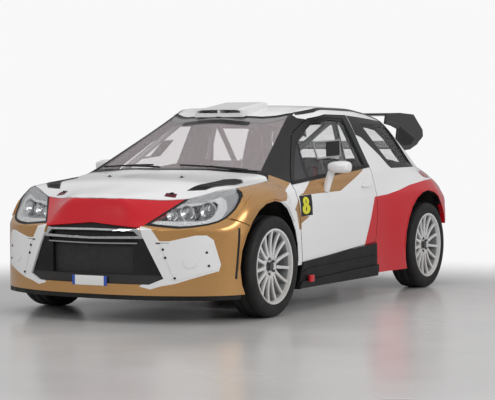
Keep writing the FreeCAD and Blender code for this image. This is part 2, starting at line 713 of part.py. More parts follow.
def knuckle(axle_y):
    # The upright, its ball pin, the damper on the steering axis with its spring, and the stub axle
    face_x = wheel_x - size("disc_inset") - size("disc_thickness") / 2 - 13
    back_x = face_x - 40
    upright = box_between(
        (back_x, axle_y - 55, kingpin_foot.z + 20), (face_x, axle_y + 55, wheel_z + 150)
    )
    clamp = box_between(
        (kingpin_point(wheel_z + 110).x - 30, axle_y - 32, wheel_z + 80),
        (face_x, axle_y + 32, wheel_z + 150),
    )
    pin_start = on_axle(kingpin_point(arm_low), axle_y)
    pin = rod(pin_start, on_axle(kingpin_point(kingpin_foot.z + 60), axle_y), pin_radius)
    damper_low = on_axle(kingpin_point(wheel_z + 90), axle_y)
    damper = rod(damper_low, on_axle(kingpin_top, axle_y), size("strut_radius"))
    spring_low = on_axle(kingpin_point(2 * wheel_z + 18), axle_y)
    spring = rod(spring_low, on_axle(kingpin_point(kingpin_top.z - 10), axle_y), size("spring_radius"))
    stub = across_cylinder(axle_y, wheel_z, size("spindle_radius"), face_x - 10, wheel_x + 70)
    boot_low = on_axle(kingpin_point(wheel_z - 34), axle_y)
    boot = rod(boot_low, on_axle(kingpin_point(wheel_z + 34), axle_y), size("boot_radius"))
    return one_solid(upright.fuse([clamp, pin, damper, spring, stub, boot]))


for end, axle_y in (("front", front_axle_y), ("rear", rear_axle_y)):
    upright = knuckle(axle_y)
    add_part(f"{end}_knuckle_left", upright)
    add_part(f"{end}_knuckle_right", mirrored(upright))

# --- Exhaust --------------------------------------------------------------------


def pipe_run(points, radius):
    pieces = [rod(a, b, radius) for a, b in zip(points, points[1:])]
    pieces += [Part.makeSphere(radius, point) for point in points[1:-1]]
    return pieces[0].fuse(pieces[1:])


exhaust_radius = size("exhaust_radius")
muffler_radius = size("muffler_radius")
muffler_z = upward(242)
low_pipe_z = subframe_low - 22 - exhaust_radius - 4
tunnel_pipe_z = tunnel_top - plate - exhaust_radius - 30
exhaust_points = [
    Vector(0, bulkhead_y + 10, tunnel_pipe_z),
    Vector(0, rear_step_y - 120, tunnel_pipe_z),
    Vector(0, rear_axle_y - 200, low_pipe_z),
    Vector(0, rear_axle_y + 200, low_pipe_z),
    Vector(0, along(1620), muffler_z),
]
exhaust = pipe_run(exhaust_points, exhaust_radius)
muffler = rod(Vector(0, along(1600), muffler_z), Vector(0, along(1860), muffler_z), muffler_radius)
tip_z = muffler_z - muffler_radius + exhaust_radius + 2
tail_pipe = rod(Vector(0, along(1850), tip_z), Vector(0, along(1958), tip_z), exhaust_radius)
hanger = box_between((-10, along(1700), muffler_z), (10, along(1740), rear_deck_z))
front_hanger = box_between((-10, bulkhead_y + 60, tunnel_pipe_z), (10, bulkhead_y + 90, tunnel_top - plate))
exhaust = exhaust.fuse([muffler, tail_pipe, hanger, front_hanger])
bore_start = Vector(0, along(1870), tip_z)
exhaust = exhaust.cut(rod(bore_start, Vector(0, along(1970), tip_z), exhaust_radius - size("exhaust_wall")))
add_part("exhaust", one_solid(exhaust))

# --- Roll cage and cabin --------------------------------------------------------

CAGE_TUBES = [
    # x, y, z along each run on the left side; the right side is its mirror
    [(610, -765, None), (600, -765, 876), (458, -150, 1246), (496, 440, 1284)],
    [(600, 440, None), (596, 440, 880), (496, 440, 1284)],
    [(496, 440, 1284), (415, 1110, None)],
    [(605, -765, 560), (598, 440, 320)],
    [(608, -765, 300), (598, 440, 600)],
]
CAGE_CROSSES = [
    # from and to, each x, y, z: one piece each
    [(-496, 440, 1284), (496, 440, 1284)],
    [(-458, -150, 1246), (458, -150, 1246)],
    [(-597, 440, 700), (597, 440, 700)],
    [(-598, 440, 420), (496, 440, 1284)],
    [(-605, -765, 560), (605, -765, 560)],
]
tube_radius = size("cage_radius")


def cage_point(x, y, z):
    if z is not None:
        return at(x, y, z)
    foot = at(x, y, 0)
    foot.z = floor_top if y < 884 else rear_deck_z + plate
    return foot


tubes = []
for run in CAGE_TUBES:
    points = [cage_point(*point) for point in run]
    half = pipe_run(points, tube_radius)
    tubes += [half, mirrored(half)]
for start_point, end_point in CAGE_CROSSES:
    tubes.append(rod(cage_point(*start_point), cage_point(*end_point), tube_radius))
hoop_corner = at(496, 440, 1284)
for sign in (1, -1):
    tubes.append(Part.makeSphere(tube_radius, Vector(sign * hoop_corner.x, hoop_corner.y, hoop_corner.z)))
cage = tubes[0].fuse(tubes[1:])
above = box_between((-side_reach, -length, floor_top), (side_reach, length, upward(1500)))
rear_above = box_between((-side_reach, rear_step_y, floor_top), (side_reach, length, rear_deck_z + plate))
cage = cage.common(above.cut(rear_above))
add_part("roll_cage", one_solid(cage))

SEAT_SIDE = [(-190, None), (-200, 330), (150, 300), (318, 980), (400, 985), (300, None)]  # y, z
SEAT_CHEEKS = [(-190, 330), (-60, 430), (60, 420), (120, 620), (240, 980), (400, 985), (300, 330)]
SEAT_HOLLOW = [
    (-210, 332), (-210, 470), (40, 470), (90, 640), (200, 1000), (318, 1000), (250, 690), (150, 316),
]
SEAT_X = 335
SEAT_HALF = 228
BOLSTER = 46
floor_net_z = floor_top * NET_HEIGHT / size("body_height")


def seat():
    outline = [(y, floor_net_z if z is None else z) for y, z in SEAT_SIDE]
    block = side_prism(outline, SEAT_X - SEAT_HALF, SEAT_X + SEAT_HALF)
    cheeks = side_prism(SEAT_CHEEKS, SEAT_X - SEAT_HALF, SEAT_X + SEAT_HALF)
    hollow = side_prism(SEAT_HOLLOW, SEAT_X - SEAT_HALF + BOLSTER, SEAT_X + SEAT_HALF - BOLSTER)
    return one_solid(block.fuse(cheeks).cut(hollow))


left_seat = seat()
add_part("seat_left", left_seat)
add_part("seat_right", mirrored(left_seat))

DASHBOARD = [  # y, z
    (BULKHEAD_Y, 640), (BULKHEAD_Y, 862), (-720, 900), (-590, 872), (-545, 800), (-600, 690), (-760, 640),
]
dashboard = side_prism(DASHBOARD, -560, 560)
add_part("dashboard", one_solid(dashboard))

wheel_centre = at(SEAT_X, -360, 790)
column_start = at(SEAT_X, -570, 730)
column_axis = (wheel_centre - column_start).normalize()
WHEEL_RING = 158
steering = rod(column_start, wheel_centre, 18)
steering = steering.fuse(Part.makeTorus(WHEEL_RING, 14, wheel_centre, column_axis))
for angle in (90, 210, 330):
    turn = Rotation(Vector(0, 0, 1), column_axis)
    direction = turn.multVec(Vector(math.cos(math.radians(angle)), math.sin(math.radians(angle)), 0))
    steering = steering.fuse(rod(wheel_centre, wheel_centre + direction * WHEEL_RING, 10))
add_part("steering_wheel", one_solid(steering.cut(dashboard)))

# --- Roof scoop, mirrors and wing -----------------------------------------------

SCOOP_FRONT = [(196, 1290), (190, 1336), (150, 1347), (-150, 1347), (-190, 1336), (-196, 1290)]  # x, z
SCOOP_REAR = [(190, 1340), (188, 1392), (150, 1401), (-150, 1401), (-188, 1392), (-190, 1340)]
SCOOP_MOUTH = [(176, 1319), (172, 1332), (140, 1339), (8, 1341), (8, 1317)]
scoop_front = closed_wire([at(x, -372, z) for x, z in SCOOP_FRONT])
scoop_rear = closed_wire([at(x, 0, z) for x, z in SCOOP_REAR])
scoop = Part.makeLoft([scoop_front, scoop_rear], True, True).cut(outer)
mouth = front_prism(SCOOP_MOUTH, -390, -240)
scoop = scoop.cut(mouth).cut(mirrored(mouth))
add_part("roof_scoop", one_solid(scoop))

MIRROR_HEAD = (955, -372, 940)
head_centre = at(*MIRROR_HEAD)
mirror = Part.makeBox(150, 96, 104, head_centre - Vector(75, 48, 52))
mirror = mirror.makeFillet(22, mirror.Edges)
MIRROR_ARM = [(838, 772), (838, 846), (900, 905), (900, 960), (960, 960), (960, 880), (905, 800), (880, 760)]
arm = front_prism(MIRROR_ARM, -388, -340)
mirror = one_solid(mirror.fuse(arm).cut(outer))
add_part("mirror_left", mirror)
add_part("mirror_right", mirrored(mirror))

WING_TOP = [(1246, 1318), (1250, 1330), (1500, 1338), (1767, 1328), (1764, 1316), (1500, 1324)]  # y, z
WING_LOWER = [(1600, 1052), (1610, 1066), (1720, 1080), (1850, 1118), (1850, 1108), (1725, 1062)]
WING_PLATE = [
    (1225, 1250), (1250, 1330), (1500, 1338), (1767, 1328), (1949, 1207), (1958, 1154), (1900, 1128),
    (1840, 1090), (1700, 1050), (1589, 1043), (1520, 1060), (1440, 1120), (1462, 1212), (1350, 1236),
]
WING_STAY = [(1228, 1200), (1228, 1312), (1262, 1330), (1360, 1334), (1420, 1150)]
half_span = size("wing_half_span") * NET_WIDTH / size("body_width")
plate_inner = half_span - size("wing_plate") * NET_WIDTH / size("body_width")
top_plane = side_prism(WING_TOP, -half_span, half_span)
lower_plane = side_prism(WING_LOWER, -half_span, half_span)
end_plate = side_prism(WING_PLATE, plate_inner, half_span)
stay = side_prism(WING_STAY, 226, 240)
wing = top_plane.fuse([lower_plane, end_plate, mirrored(end_plate), stay, mirrored(stay)])
add_part("rear_wing", one_solid(wing.cut(outer)))

# --- Wheels ---------------------------------------------------------------------
# Each tyre and rim is turned on the wheel's own axis, the sketch's horizontal one.

half_tyre = "Sizes.tyre_width / 2"
flange = "(Sizes.tyre_width / 2 - 1)"
lip = "(Sizes.tyre_width / 2 - 9)"
TYRE_PROFILE = [  # along the axle, out from the axle
    (f"-{half_tyre}", "Sizes.rim_radius + Sizes.seat_gap"),
    (f"-{half_tyre}", "Sizes.tyre_radius - Sizes.tyre_chamfer"),
    (f"-({half_tyre} - Sizes.tyre_chamfer)", "Sizes.tyre_radius"),
    (f"{half_tyre} - Sizes.tyre_chamfer", "Sizes.tyre_radius"),
    (half_tyre, "Sizes.tyre_radius - Sizes.tyre_chamfer"),
    (half_tyre, "Sizes.rim_radius + Sizes.seat_gap"),
    (f"{lip} - Sizes.seat_gap", "Sizes.rim_radius + Sizes.seat_gap"),
    (f"{lip} - Sizes.seat_gap", "Sizes.bead_radius + Sizes.seat_gap"),
    (f"-({lip} - Sizes.seat_gap)", "Sizes.bead_radius + Sizes.seat_gap"),
    (f"-({lip} - Sizes.seat_gap)", "Sizes.rim_radius + Sizes.seat_gap"),
]
BARREL_PROFILE = [
    (f"-{flange}", "Sizes.bead_radius - Sizes.barrel_wall"),
    (f"-{flange}", "Sizes.rim_radius"),
    (f"-{lip}", "Sizes.rim_radius"),
    (f"-{lip}", "Sizes.bead_radius"),
    (lip, "Sizes.bead_radius"),
    (lip, "Sizes.rim_radius"),
    (flange, "Sizes.rim_radius"),
    (flange, "Sizes.bead_radius - Sizes.barrel_wall"),
]
spoke_face = f"({flange} - Sizes.spoke_setback)"
hub_bore = "Sizes.spindle_radius + Sizes.running_gap"
disc_out = "(Sizes.disc_thickness / 2 - Sizes.disc_inset)"
HUB_PROFILE = [
    ("-(Sizes.disc_thickness / 2 + Sizes.disc_inset)", hub_bore),
    ("-(Sizes.disc_thickness / 2 + Sizes.disc_inset)", "Sizes.disc_radius"),
    (disc_out, "Sizes.disc_radius"),
    (disc_out, "Sizes.hub_radius"),
    (f"{spoke_face} - 10", "Sizes.hub_radius"),
    (f"{spoke_face} - 10", "Sizes.hub_radius - 24"),
    (f"{spoke_face} - Sizes.hub_recess", "Sizes.hub_radius - 30"),
    (f"{spoke_face} - Sizes.hub_recess", hub_bore),
]


def origin_plane(body, role):
    return next(feature for feature in body.Origin.OriginFeatures if feature.Role == role)


def drawn_sketch(body, name, plane, points):
    # A closed outline whose corners are tied to the sheet by expressions
    sketch = body.newObject("Sketcher::SketchObject", name)
    sketch.AttachmentSupport = (origin_plane(body, plane), [""])
    sketch.MapMode = "FlatFace"
    places = [Vector(value_of(across_axis), value_of(up_axis), 0) for across_axis, up_axis in points]
    count = len(places)
    for index in range(count):
        sketch.addGeometry(Part.LineSegment(places[index], places[(index + 1) % count]), False)
    for index in range(count):
        sketch.addConstraint(Sketcher.Constraint("Coincident", index, 2, (index + 1) % count, 1))
    for index, (across_axis, up_axis) in enumerate(points):
        for kind, expression in (("DistanceX", across_axis), ("DistanceY", up_axis)):
            value = value_of(expression)
            number = sketch.addConstraint(Sketcher.Constraint(kind, -1, 1, index, 1, value))
            sketch.setExpression(f"Constraints[{number}]", expression)
    return sketch


def value_of(expression):
    return float(sheet.evalExpression(expression))


def turned(body, name, profile):
    sketch = drawn_sketch(body, f"{name}_profile", "XY_Plane", profile)
    turn = body.newObject("PartDesign::Revolution", name)
    turn.Profile = sketch
    turn.ReferenceAxis = (sketch, ["H_Axis"])
    turn.Angle = 360
    return turn


FRONT_AXLE = "(Sizes.front_overhang - Sizes.wheelbase - Sizes.rear_overhang) / 2"
REAR_AXLE = "(Sizes.front_overhang + Sizes.wheelbase - Sizes.rear_overhang) / 2"


def wheel_body(name, axle, sign):
    body = doc.addObject("PartDesign::Body", name)
    body.Label = name
    body.Placement = Placement(Vector(0, 0, 0), Rotation(Vector(0, 0, 1), 0 if sign > 0 else 180))
    body.setExpression(".Placement.Base.x", f"{sign} * Sizes.track / 2")
    body.setExpression(".Placement.Base.y", axle)
    body.setExpression(".Placement.Base.z", "Sizes.tyre_radius")
    parts[name] = body
    return body


def spoked_rim(body):
    turned(body, f"{body.Name}_barrel", BARREL_PROFILE)
    root = "Sizes.hub_radius - 6"
    tip = "Sizes.bead_radius - Sizes.barrel_wall / 2"
    outline = [
        ("Sizes.spoke_width / 2", root), ("Sizes.spoke_width / 2 + 2", tip),
        ("-(Sizes.spoke_width / 2 + 2)", tip), ("-(Sizes.spoke_width / 2)", root),
    ]
    sketch = drawn_sketch(body, f"{body.Name}_spoke_outline", "YZ_Plane", outline)
    sketch.setExpression(".AttachmentOffset.Base.z", f"{spoke_face} - Sizes.spoke_depth")
    spoke = body.newObject("PartDesign::Pad", f"{body.Name}_spoke")
    spoke.Profile = sketch
    spoke.setExpression("Length", "Sizes.spoke_depth")
    doc.recompute()
    pattern = body.newObject("PartDesign::PolarPattern", f"{body.Name}_spokes")
    pattern.Originals = [spoke]
    pattern.Axis = (sketch, ["N_Axis"])
    pattern.Angle = 360
    pattern.setExpression("Occurrences", "Sizes.spoke_count")
    body.Tip = pattern
    hub = turned(body, f"{body.Name}_hub", HUB_PROFILE)
    body.Tip = hub


for end, axle in (("front", FRONT_AXLE), ("rear", REAR_AXLE)):
    for side_name, sign in (("left", 1), ("right", -1)):
        tyre = wheel_body(f"tyre_{end}_{side_name}", axle, sign)
        turned(tyre, f"{tyre.Name}_carcass", TYRE_PROFILE)
        spoked_rim(wheel_body(f"rim_{end}_{side_name}", axle, sign))

# --- Write every piece ----------------------------------------------------------

doc.recompute()
for item in doc.Objects:
    if "Invalid" in item.State or "Error" in item.State:
        raise RuntimeError(f"{item.Name} did not build")
os.makedirs("parts", exist_ok=True)
for name, feature in parts.items():
    if feature.Shape.isNull() or not feature.Shape.isValid():
        raise RuntimeError(f"{name} has no valid shape")
    feature.Shape.exportStep(f"parts/{name}.step")
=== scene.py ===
import math

import bmesh
import bpy
from mathutils import Matrix, Vector


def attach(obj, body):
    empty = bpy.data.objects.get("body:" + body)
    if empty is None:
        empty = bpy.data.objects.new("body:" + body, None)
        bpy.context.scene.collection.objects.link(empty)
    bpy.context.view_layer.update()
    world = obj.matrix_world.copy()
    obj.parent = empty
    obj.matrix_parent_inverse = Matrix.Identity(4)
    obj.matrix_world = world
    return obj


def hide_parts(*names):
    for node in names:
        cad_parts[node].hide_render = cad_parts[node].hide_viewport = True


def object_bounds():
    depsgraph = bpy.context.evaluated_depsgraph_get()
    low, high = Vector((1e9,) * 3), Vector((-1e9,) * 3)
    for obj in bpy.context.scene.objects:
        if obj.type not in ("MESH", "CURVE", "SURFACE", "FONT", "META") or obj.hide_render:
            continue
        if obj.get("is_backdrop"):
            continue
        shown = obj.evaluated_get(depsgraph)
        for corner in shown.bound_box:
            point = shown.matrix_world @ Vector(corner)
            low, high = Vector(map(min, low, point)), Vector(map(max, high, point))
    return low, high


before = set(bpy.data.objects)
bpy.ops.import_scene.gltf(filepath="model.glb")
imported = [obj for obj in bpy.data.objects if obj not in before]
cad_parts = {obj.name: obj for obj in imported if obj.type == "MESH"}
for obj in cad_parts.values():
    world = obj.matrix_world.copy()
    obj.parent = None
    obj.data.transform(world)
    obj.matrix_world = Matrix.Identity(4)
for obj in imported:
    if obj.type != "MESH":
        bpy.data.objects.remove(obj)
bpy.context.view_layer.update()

scene = bpy.context.scene
scene.view_settings.view_transform = "Standard"

# --- Studio -----------------------------------------------------------------------
# A pale, faintly polished studio floor that runs back into a white cove, lit by a big
# soft box overhead, a strip in front of the nose and a fill on the car's left side.

FLOOR_SIZE = 60.0
FLOOR_GREY = (0.56, 0.55, 0.54)
FADE_CENTRE = (0.8, -1.4, 0.0)
FADE_START = 3.0
FADE_END = 5.6
WALL_GREY = (0.40, 0.40, 0.405)
CEILING_WHITE = (0.62, 0.62, 0.63)
BACKDROP_WHITE = (0.94, 0.94, 0.945)


def shader(name):
    """A new material; returns it with its node tree and its Principled BSDF."""
    material = bpy.data.materials.new(name)
    material.use_nodes = True
    tree = material.node_tree
    return material, tree, tree.nodes["Principled BSDF"]


def object_from(bm, name, materials=()):
    """Makes a bmesh a mesh object in the scene, in its materials."""
    mesh = bpy.data.meshes.new(name)
    bm.to_mesh(mesh)
    bm.free()
    for material in materials:
        mesh.materials.append(material)
    piece = bpy.data.objects.new(name, mesh)
    scene.collection.objects.link(piece)
    return piece


def feed(tree, made, values):
    """Gives a node's inputs their values: a socket to link, a number or a colour."""
    for label, value in values.items():
        socket = made.inputs[label]
        if isinstance(value, bpy.types.NodeSocket):
            tree.links.new(value, socket)
        elif socket.type == "RGBA":
            socket.default_value = (*value, 1)
        else:
            socket.default_value = value


def shader_node(tree, kind, values, **settings):
    """A shader node with its settings and its inputs."""
    made = tree.nodes.new("ShaderNode" + kind)
    for label, setting in settings.items():
        setattr(made, label, setting)
    feed(tree, made, values)
    return made


def own_place(tree):
    """A point's place in its object's own coordinates."""
    return shader_node(tree, "TexCoord", {}).outputs["Object"]


def noise(tree, scale, detail=3.0, vector=None):
    """A noise texture on the object's own coordinates."""
    values = {"Scale": scale, "Detail": detail, "Vector": vector or own_place(tree)}
    return shader_node(tree, "TexNoise", values).outputs["Fac"]


def ranged(tree, value, start, end, low=0.0, high=1.0, **settings):
    """Carries a value from start..end to low..high."""
    values = {"Value": value, "From Min": start, "From Max": end, "To Min": low, "To Max": high}
    return shader_node(tree, "MapRange", values, **settings).outputs["Result"]


def spread(tree, value, low, high):
    """Carries a mask from 0.3..0.7 to low..high."""
    return ranged(tree, value, 0.3, 0.7, low, high)


def mixed_colour(tree, share, first, second):
    """A colour between two, each a socket or three numbers."""
    values = {0: share, 6: first, 7: second}
    return shader_node(tree, "Mix", values, data_type="RGBA").outputs[2]


floor_paint, tree, surface = shader("studio_floor")
reach = shader_node(tree, "VectorMath", {0: own_place(tree), 1: FADE_CENTRE}, operation="DISTANCE")
feed(tree, surface, {
    "Base Color": FLOOR_GREY,
    "Roughness": spread(tree, noise(tree, 0.7), 0.16, 0.30),
    "Alpha": ranged(tree, reach.outputs["Value"], FADE_START, FADE_END, 1.0, 0.0,
                    interpolation_type="SMOOTHSTEP"),
})
bm = bmesh.new()
bmesh.ops.create_grid(bm, x_segments=2, y_segments=2, size=FLOOR_SIZE / 2)
object_from(bm, "studio_floor", [floor_paint])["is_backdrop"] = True

world = bpy.data.worlds.new("studio")
world.use_nodes = True
sky = world.node_tree
aim = shader_node(sky, "TexCoord", {}).outputs["Generated"]
upward = shader_node(sky, "SeparateXYZ", {0: aim})
rise = shader_node(sky, "ValToRGB", {"Fac": upward.outputs["Z"]})
for stop, place, grey in zip(rise.color_ramp.elements, (0.0, 0.75), (WALL_GREY, CEILING_WHITE)):
    stop.position = place
    stop.color = (*grey, 1)
direct = shader_node(sky, "LightPath", {}).outputs["Is Camera Ray"]
seen = mixed_colour(sky, direct, rise.outputs["Color"], BACKDROP_WHITE)
feed(sky, sky.nodes["Background"], {"Color": seen, "Strength": 1.0})
scene.world = world


def soft_box(name, place, target, width, depth, power):
    lamp = bpy.data.lights.new(name, "AREA")
    lamp.shape = "RECTANGLE"
    lamp.size = width
    lamp.size_y = depth
    lamp.energy = power
    holder = bpy.data.objects.new(name, lamp)
    holder.location = place
    holder.rotation_euler = (Vector(target) - Vector(place)).to_track_quat("-Z", "Y").to_euler()
    scene.collection.objects.link(holder)
    return holder


overhead = soft_box("overhead_box", (0.0, 0.0, 4.6), (0, 0, 0), 3.2, 6.0, 60)
overhead.visible_glossy = False
soft_box("side_box", (6.5, -1.5, 3.0), (0, 0, 0.6), 5.0, 2.4, 165)
soft_box("nose_box", (-1.0, -7.5, 3.2), (0, -1.5, 0.5), 4.0, 1.6, 95)

# --- Camera -----------------------------------------------------------------------
# A long lens in front of the car's left headlamp, a little over a metre above the floor.

CAMERA_PLACE = Vector((5.957, -10.5726, 1.143))
CAMERA_YAW = math.radians(-29.30)
CAMERA_PITCH = math.radians(-2.12)
CAMERA_ROLL = math.radians(-0.11)
CAMERA_LENS = 121.9  # millimetres, on a 36 mm sensor

ahead = Vector((
    math.sin(CAMERA_YAW) * math.cos(CAMERA_PITCH),
    math.cos(CAMERA_YAW) * math.cos(CAMERA_PITCH),
    math.sin(CAMERA_PITCH),
))
level_right = ahead.cross(Vector((0, 0, 1))).normalized()
level_up = level_right.cross(ahead)
right = level_right * math.cos(CAMERA_ROLL) + level_up * math.sin(CAMERA_ROLL)
up = level_up * math.cos(CAMERA_ROLL) - level_right * math.sin(CAMERA_ROLL)
lens = bpy.data.cameras.new("camera")
lens.lens = CAMERA_LENS
lens.sensor_width = 36.0
lens.sensor_fit = "HORIZONTAL"
lens.clip_end = 200.0
camera = bpy.data.objects.new("camera", lens)
turn = Matrix((right, up, -ahead)).transposed().to_4x4()
camera.matrix_world = Matrix.Translation(CAMERA_PLACE) @ turn
scene.collection.objects.link(camera)
scene.camera = camera

# --- Body form --------------------------------------------------------------------
# The pressed steel and composite body as one smooth closed form, from which every outer
# panel and window is cut. Its sections stand across the car, each drawn in millimetres.

MM = 0.001
SECTIONS = [
    # y, then x and z of the bottom, low, mid, upper, shoulder, belt, edge and crown lines,
    # then the height of the centre line
    (-1974, (890, 176), (895, 300), (850, 430), (700, 500),
     (560, 525), (450, 535), (330, 545), (200, 553), 558),
    (-1943, (890, 176), (895, 300), (860, 440), (710, 520),
     (570, 560), (460, 580), (341, 596), (200, 622), 632),
    (-1892, (890, 176), (896, 300), (870, 460), (720, 545),
     (590, 582), (490, 598), (382, 614), (205, 752), 770),
    (-1829, (890, 176), (898, 300), (880, 480), (765, 565),
     (660, 590), (578, 600), (423, 657), (230, 780), 796),
    (-1660, (892, 176), (900, 300), (895, 500), (845, 600),
     (798, 655), (690, 740), (534, 768), (300, 816), 836),
    (-1520, (895, 176), (903, 320), (903, 560), (888, 690),
     (845, 768), (778, 825), (560, 850), (300, 866), 872),
    (-1209, (897, 176), (906, 320), (908, 600), (905, 738),
     (865, 800), (778, 852), (600, 882), (320, 902), 908),
    (-1000, (880, 170), (886, 320), (888, 600), (878, 745),
     (835, 815), (768, 866), (680, 900), (320, 942), 950),
    (-937, (868, 168), (872, 320), (872, 580), (865, 730),
     (830, 805), (775, 862), (692, 912), (400, 962), 986),
    (-740, (852, 168), (855, 320), (858, 560), (853, 710),
     (838, 790), (808, 852), (647, 1010), (370, 1068), 1094),
    (-350, (850, 168), (852, 320), (858, 560), (854, 710),
     (840, 795), (812, 870), (551, 1208), (300, 1271), 1306),
    (-160, (850, 168), (852, 320), (858, 560), (854, 710),
     (840, 795), (812, 885), (518, 1300), (300, 1332), 1342),
    (60, (850, 168), (852, 320), (858, 560), (854, 710),
     (840, 795), (812, 903), (583, 1342), (320, 1370), 1376),
    (550, (856, 168), (862, 320), (868, 560), (862, 710),
     (840, 800), (800, 930), (588, 1340), (320, 1376), 1386),
    (850, (885, 168), (892, 320), (895, 560), (882, 720),
     (842, 815), (790, 932), (583, 1312), (320, 1352), 1362),
    (1150, (895, 168), (903, 320), (906, 600), (902, 730),
     (852, 822), (772, 934), (566, 1264), (320, 1308), 1320),
    (1300, (897, 168), (906, 320), (908, 600), (904, 730),
     (852, 826), (750, 928), (640, 1100), (330, 1228), 1244),
    (1450, (892, 176), (902, 320), (905, 600), (900, 720),
     (842, 818), (742, 890), (700, 930), (340, 1098), 1114),
    (1650, (870, 190), (880, 320), (880, 560), (858, 690),
     (800, 790), (715, 862), (655, 895), (340, 935), 948),
    (1800, (840, 205), (850, 320), (850, 520), (825, 640),
     (770, 740), (700, 805), (640, 835), (340, 868), 878),
    (1880, (800, 215), (810, 320), (812, 480), (790, 580),
     (740, 660), (680, 690), (620, 705), (340, 722), 728),
    (1974, (760, 240), (770, 320), (772, 430), (750, 490),
     (700, 520), (640, 530), (560, 536), (340, 545), 548),
]
PLAN = [  # half width at each y, seen from above
    (-1974, 0), (-1965, 200), (-1937, 400), (-1876, 570), (-1815, 690), (-1750, 780),
    (-1660, 850), (-1560, 893), (-1420, 910), (1440, 910), (1560, 900), (1680, 870),
    (1790, 800), (1868, 700), (1925, 560), (1962, 350), (1974, 0),
]
END_FLAT = 4  # the end sections stand this far inside the nose and the tail


def between(table, y):
    """The rows of a table before and after y, and y's share of the way."""
    for before, after in zip(table, table[1:]):
        if y <= after[0]:
            return before, after, (y - before[0]) / (after[0] - before[0])
    return table[-2], table[-1], 1.0


def section(y):
    """Half of the body's section at y, from the bottom edge to the centre line."""
    before, after, share = between(PLAN, y)
    widest = before[1] + (after[1] - before[1]) * share
    before, after, share = between(SECTIONS, y)
    half = []
    for near, far in zip(before[1:9], after[1:9]):
        x = near[0] + (far[0] - near[0]) * share
        z = near[1] + (far[1] - near[1]) * share
        half.append(Vector((min(x, widest), y, z)) * MM)
    half.append(Vector((0, y, before[9] + (after[9] - before[9]) * share)) * MM)
    drawn = []
    for point, following in zip(half, half[1:]):
        drawn += [point, (point + following) / 2]
    return drawn + half[-1:]


FORM_STATIONS = (
    [-1974 + END_FLAT, -1965, -1943, -1918, -1892, -1860, -1829, -1780, -1720, -1660, -1590]
    + [-1520, -1365, -1209, -1100, -1000, -937, -840, -740, -545, -350, -250, -160, -50, 60]
    + [300, 550, 700, 850, 1000, 1150, 1225, 1300, 1375, 1450, 1550, 1650, 1725, 1800]
    + [1840, 1880, 1925, 1955, 1974 - END_FLAT]
)


def outward(bm):
    """Turns a part's faces outwards."""
    bmesh.ops.recalc_face_normals(bm, faces=bm.faces)


def section_loop(bm, y):
    half = section(y)
    floor_point = Vector((0, y * MM, half[0].z))
    other = [Vector((-point.x, point.y, point.z)) for point in reversed(half[:-1])]
    ring = [bm.verts.new(point) for point in [floor_point] + half + other]
    return [bm.edges.new((a, b)) for a, b in zip(ring, ring[1:] + ring[:1])]


def bake(piece):
    """Applies the piece's modifiers."""
    graph = bpy.context.evaluated_depsgraph_get()
    mesh = bpy.data.meshes.new_from_object(piece.evaluated_get(graph))
    piece.modifiers.clear()
    plain = piece.data
    piece.data = mesh
    bpy.data.meshes.remove(plain)


def smooth_form(piece, levels, rounds):
    """Subdivides a cage whose smooth surface is first drawn out to its own corners."""
    goal = [vertex.co.copy() for vertex in piece.data.vertices]
    skin = piece.modifiers.new("smooth", "SUBSURF")
    skin.levels = skin.render_levels = 1
    for _ in range(rounds):
        graph = bpy.context.evaluated_depsgraph_get()
        shown = piece.evaluated_get(graph).data.vertices
        offsets = [goal[i] - shown[i].co for i in range(len(goal))]
        for vertex, offset in zip(piece.data.vertices, offsets):
            vertex.co += offset
        piece.data.update()
    skin.levels = skin.render_levels = levels
    bake(piece)


bm = bmesh.new()
loops = [section_loop(bm, y) for y in FORM_STATIONS]
for near, far in zip(loops, loops[1:]):
    bmesh.ops.bridge_loops(bm, edges=near + far)
bmesh.ops.holes_fill(bm, edges=loops[0] + loops[-1], sides=0)
outward(bm)
crease = bm.edges.layers.float.new("crease_edge")
for edge in bm.edges:
    flat_below = [face for face in edge.link_faces if face.normal.z < -0.8]
    if len(flat_below) == 1:
        edge[crease] = 1.0
body_form = object_from(bm, "body_form")
smooth_form(body_form, 2, 1)
for index in range(2):
    body_form.data.materials.append(None)

# --- Bonnet -----------------------------------------------------------------------
# The bonnet is one light composite pressing, hinged at its rear and held down by four
# pins. It is painted gloss white, with two black leaf-shaped outlets let into its top.

VIEWS = {"side": (1, 2), "plan": (0, 1), "front": (0, 2)}
HALF_GAP = 2.5
LID_WALL = 26
BONNET = [
    (0, -1890), (139, -1882), (198, -1866), (251, -1833), (299, -1794), (349, -1757),
    (403, -1726), (459, -1697), (534, -1664), (640, -1594), (738, -1530), (772, -1490),
    (774, -1209), (762, -1040), (720, -990), (655, -985), (400, -1048), (0, -1088),
]
UPPER_BOX = ((-1000, -2000, 560), (1000, 2000, 1500))
GLOSS_WHITE = (0.80, 0.80, 0.80)
ROAD_DUST = (0.36, 0.32, 0.27)
DUST_TOP, DUST_FULL = 0.55, 0.12  # road dust thickens between these heights, in metres


def both_sides(half):
    """An outline that is the same on both sides, from one half."""
    return half + [(-x, y) for x, y in reversed(half) if x != 0]


def grown(outline, distance):
    """An outline moved outwards by a distance, or inwards where that is negative."""
    following = outline[1:] + outline[:1]
    area = sum(a[0] * b[1] - b[0] * a[1] for a, b in zip(outline, following))
    if area < 0:
        distance = -distance
    moved = []
    for before, point, after in zip(outline[-1:] + outline[:-1], outline, following):
        arrive = (Vector(point) - Vector(before)).normalized()
        leave = (Vector(after) - Vector(point)).normalized()
        square_on = Vector((arrive.y, -arrive.x)) + Vector((leave.y, -leave.x))
        reach = max(square_on.length_squared / 2, 0.35)
        moved.append(tuple(Vector(point) + square_on * (distance / reach)))
    return moved


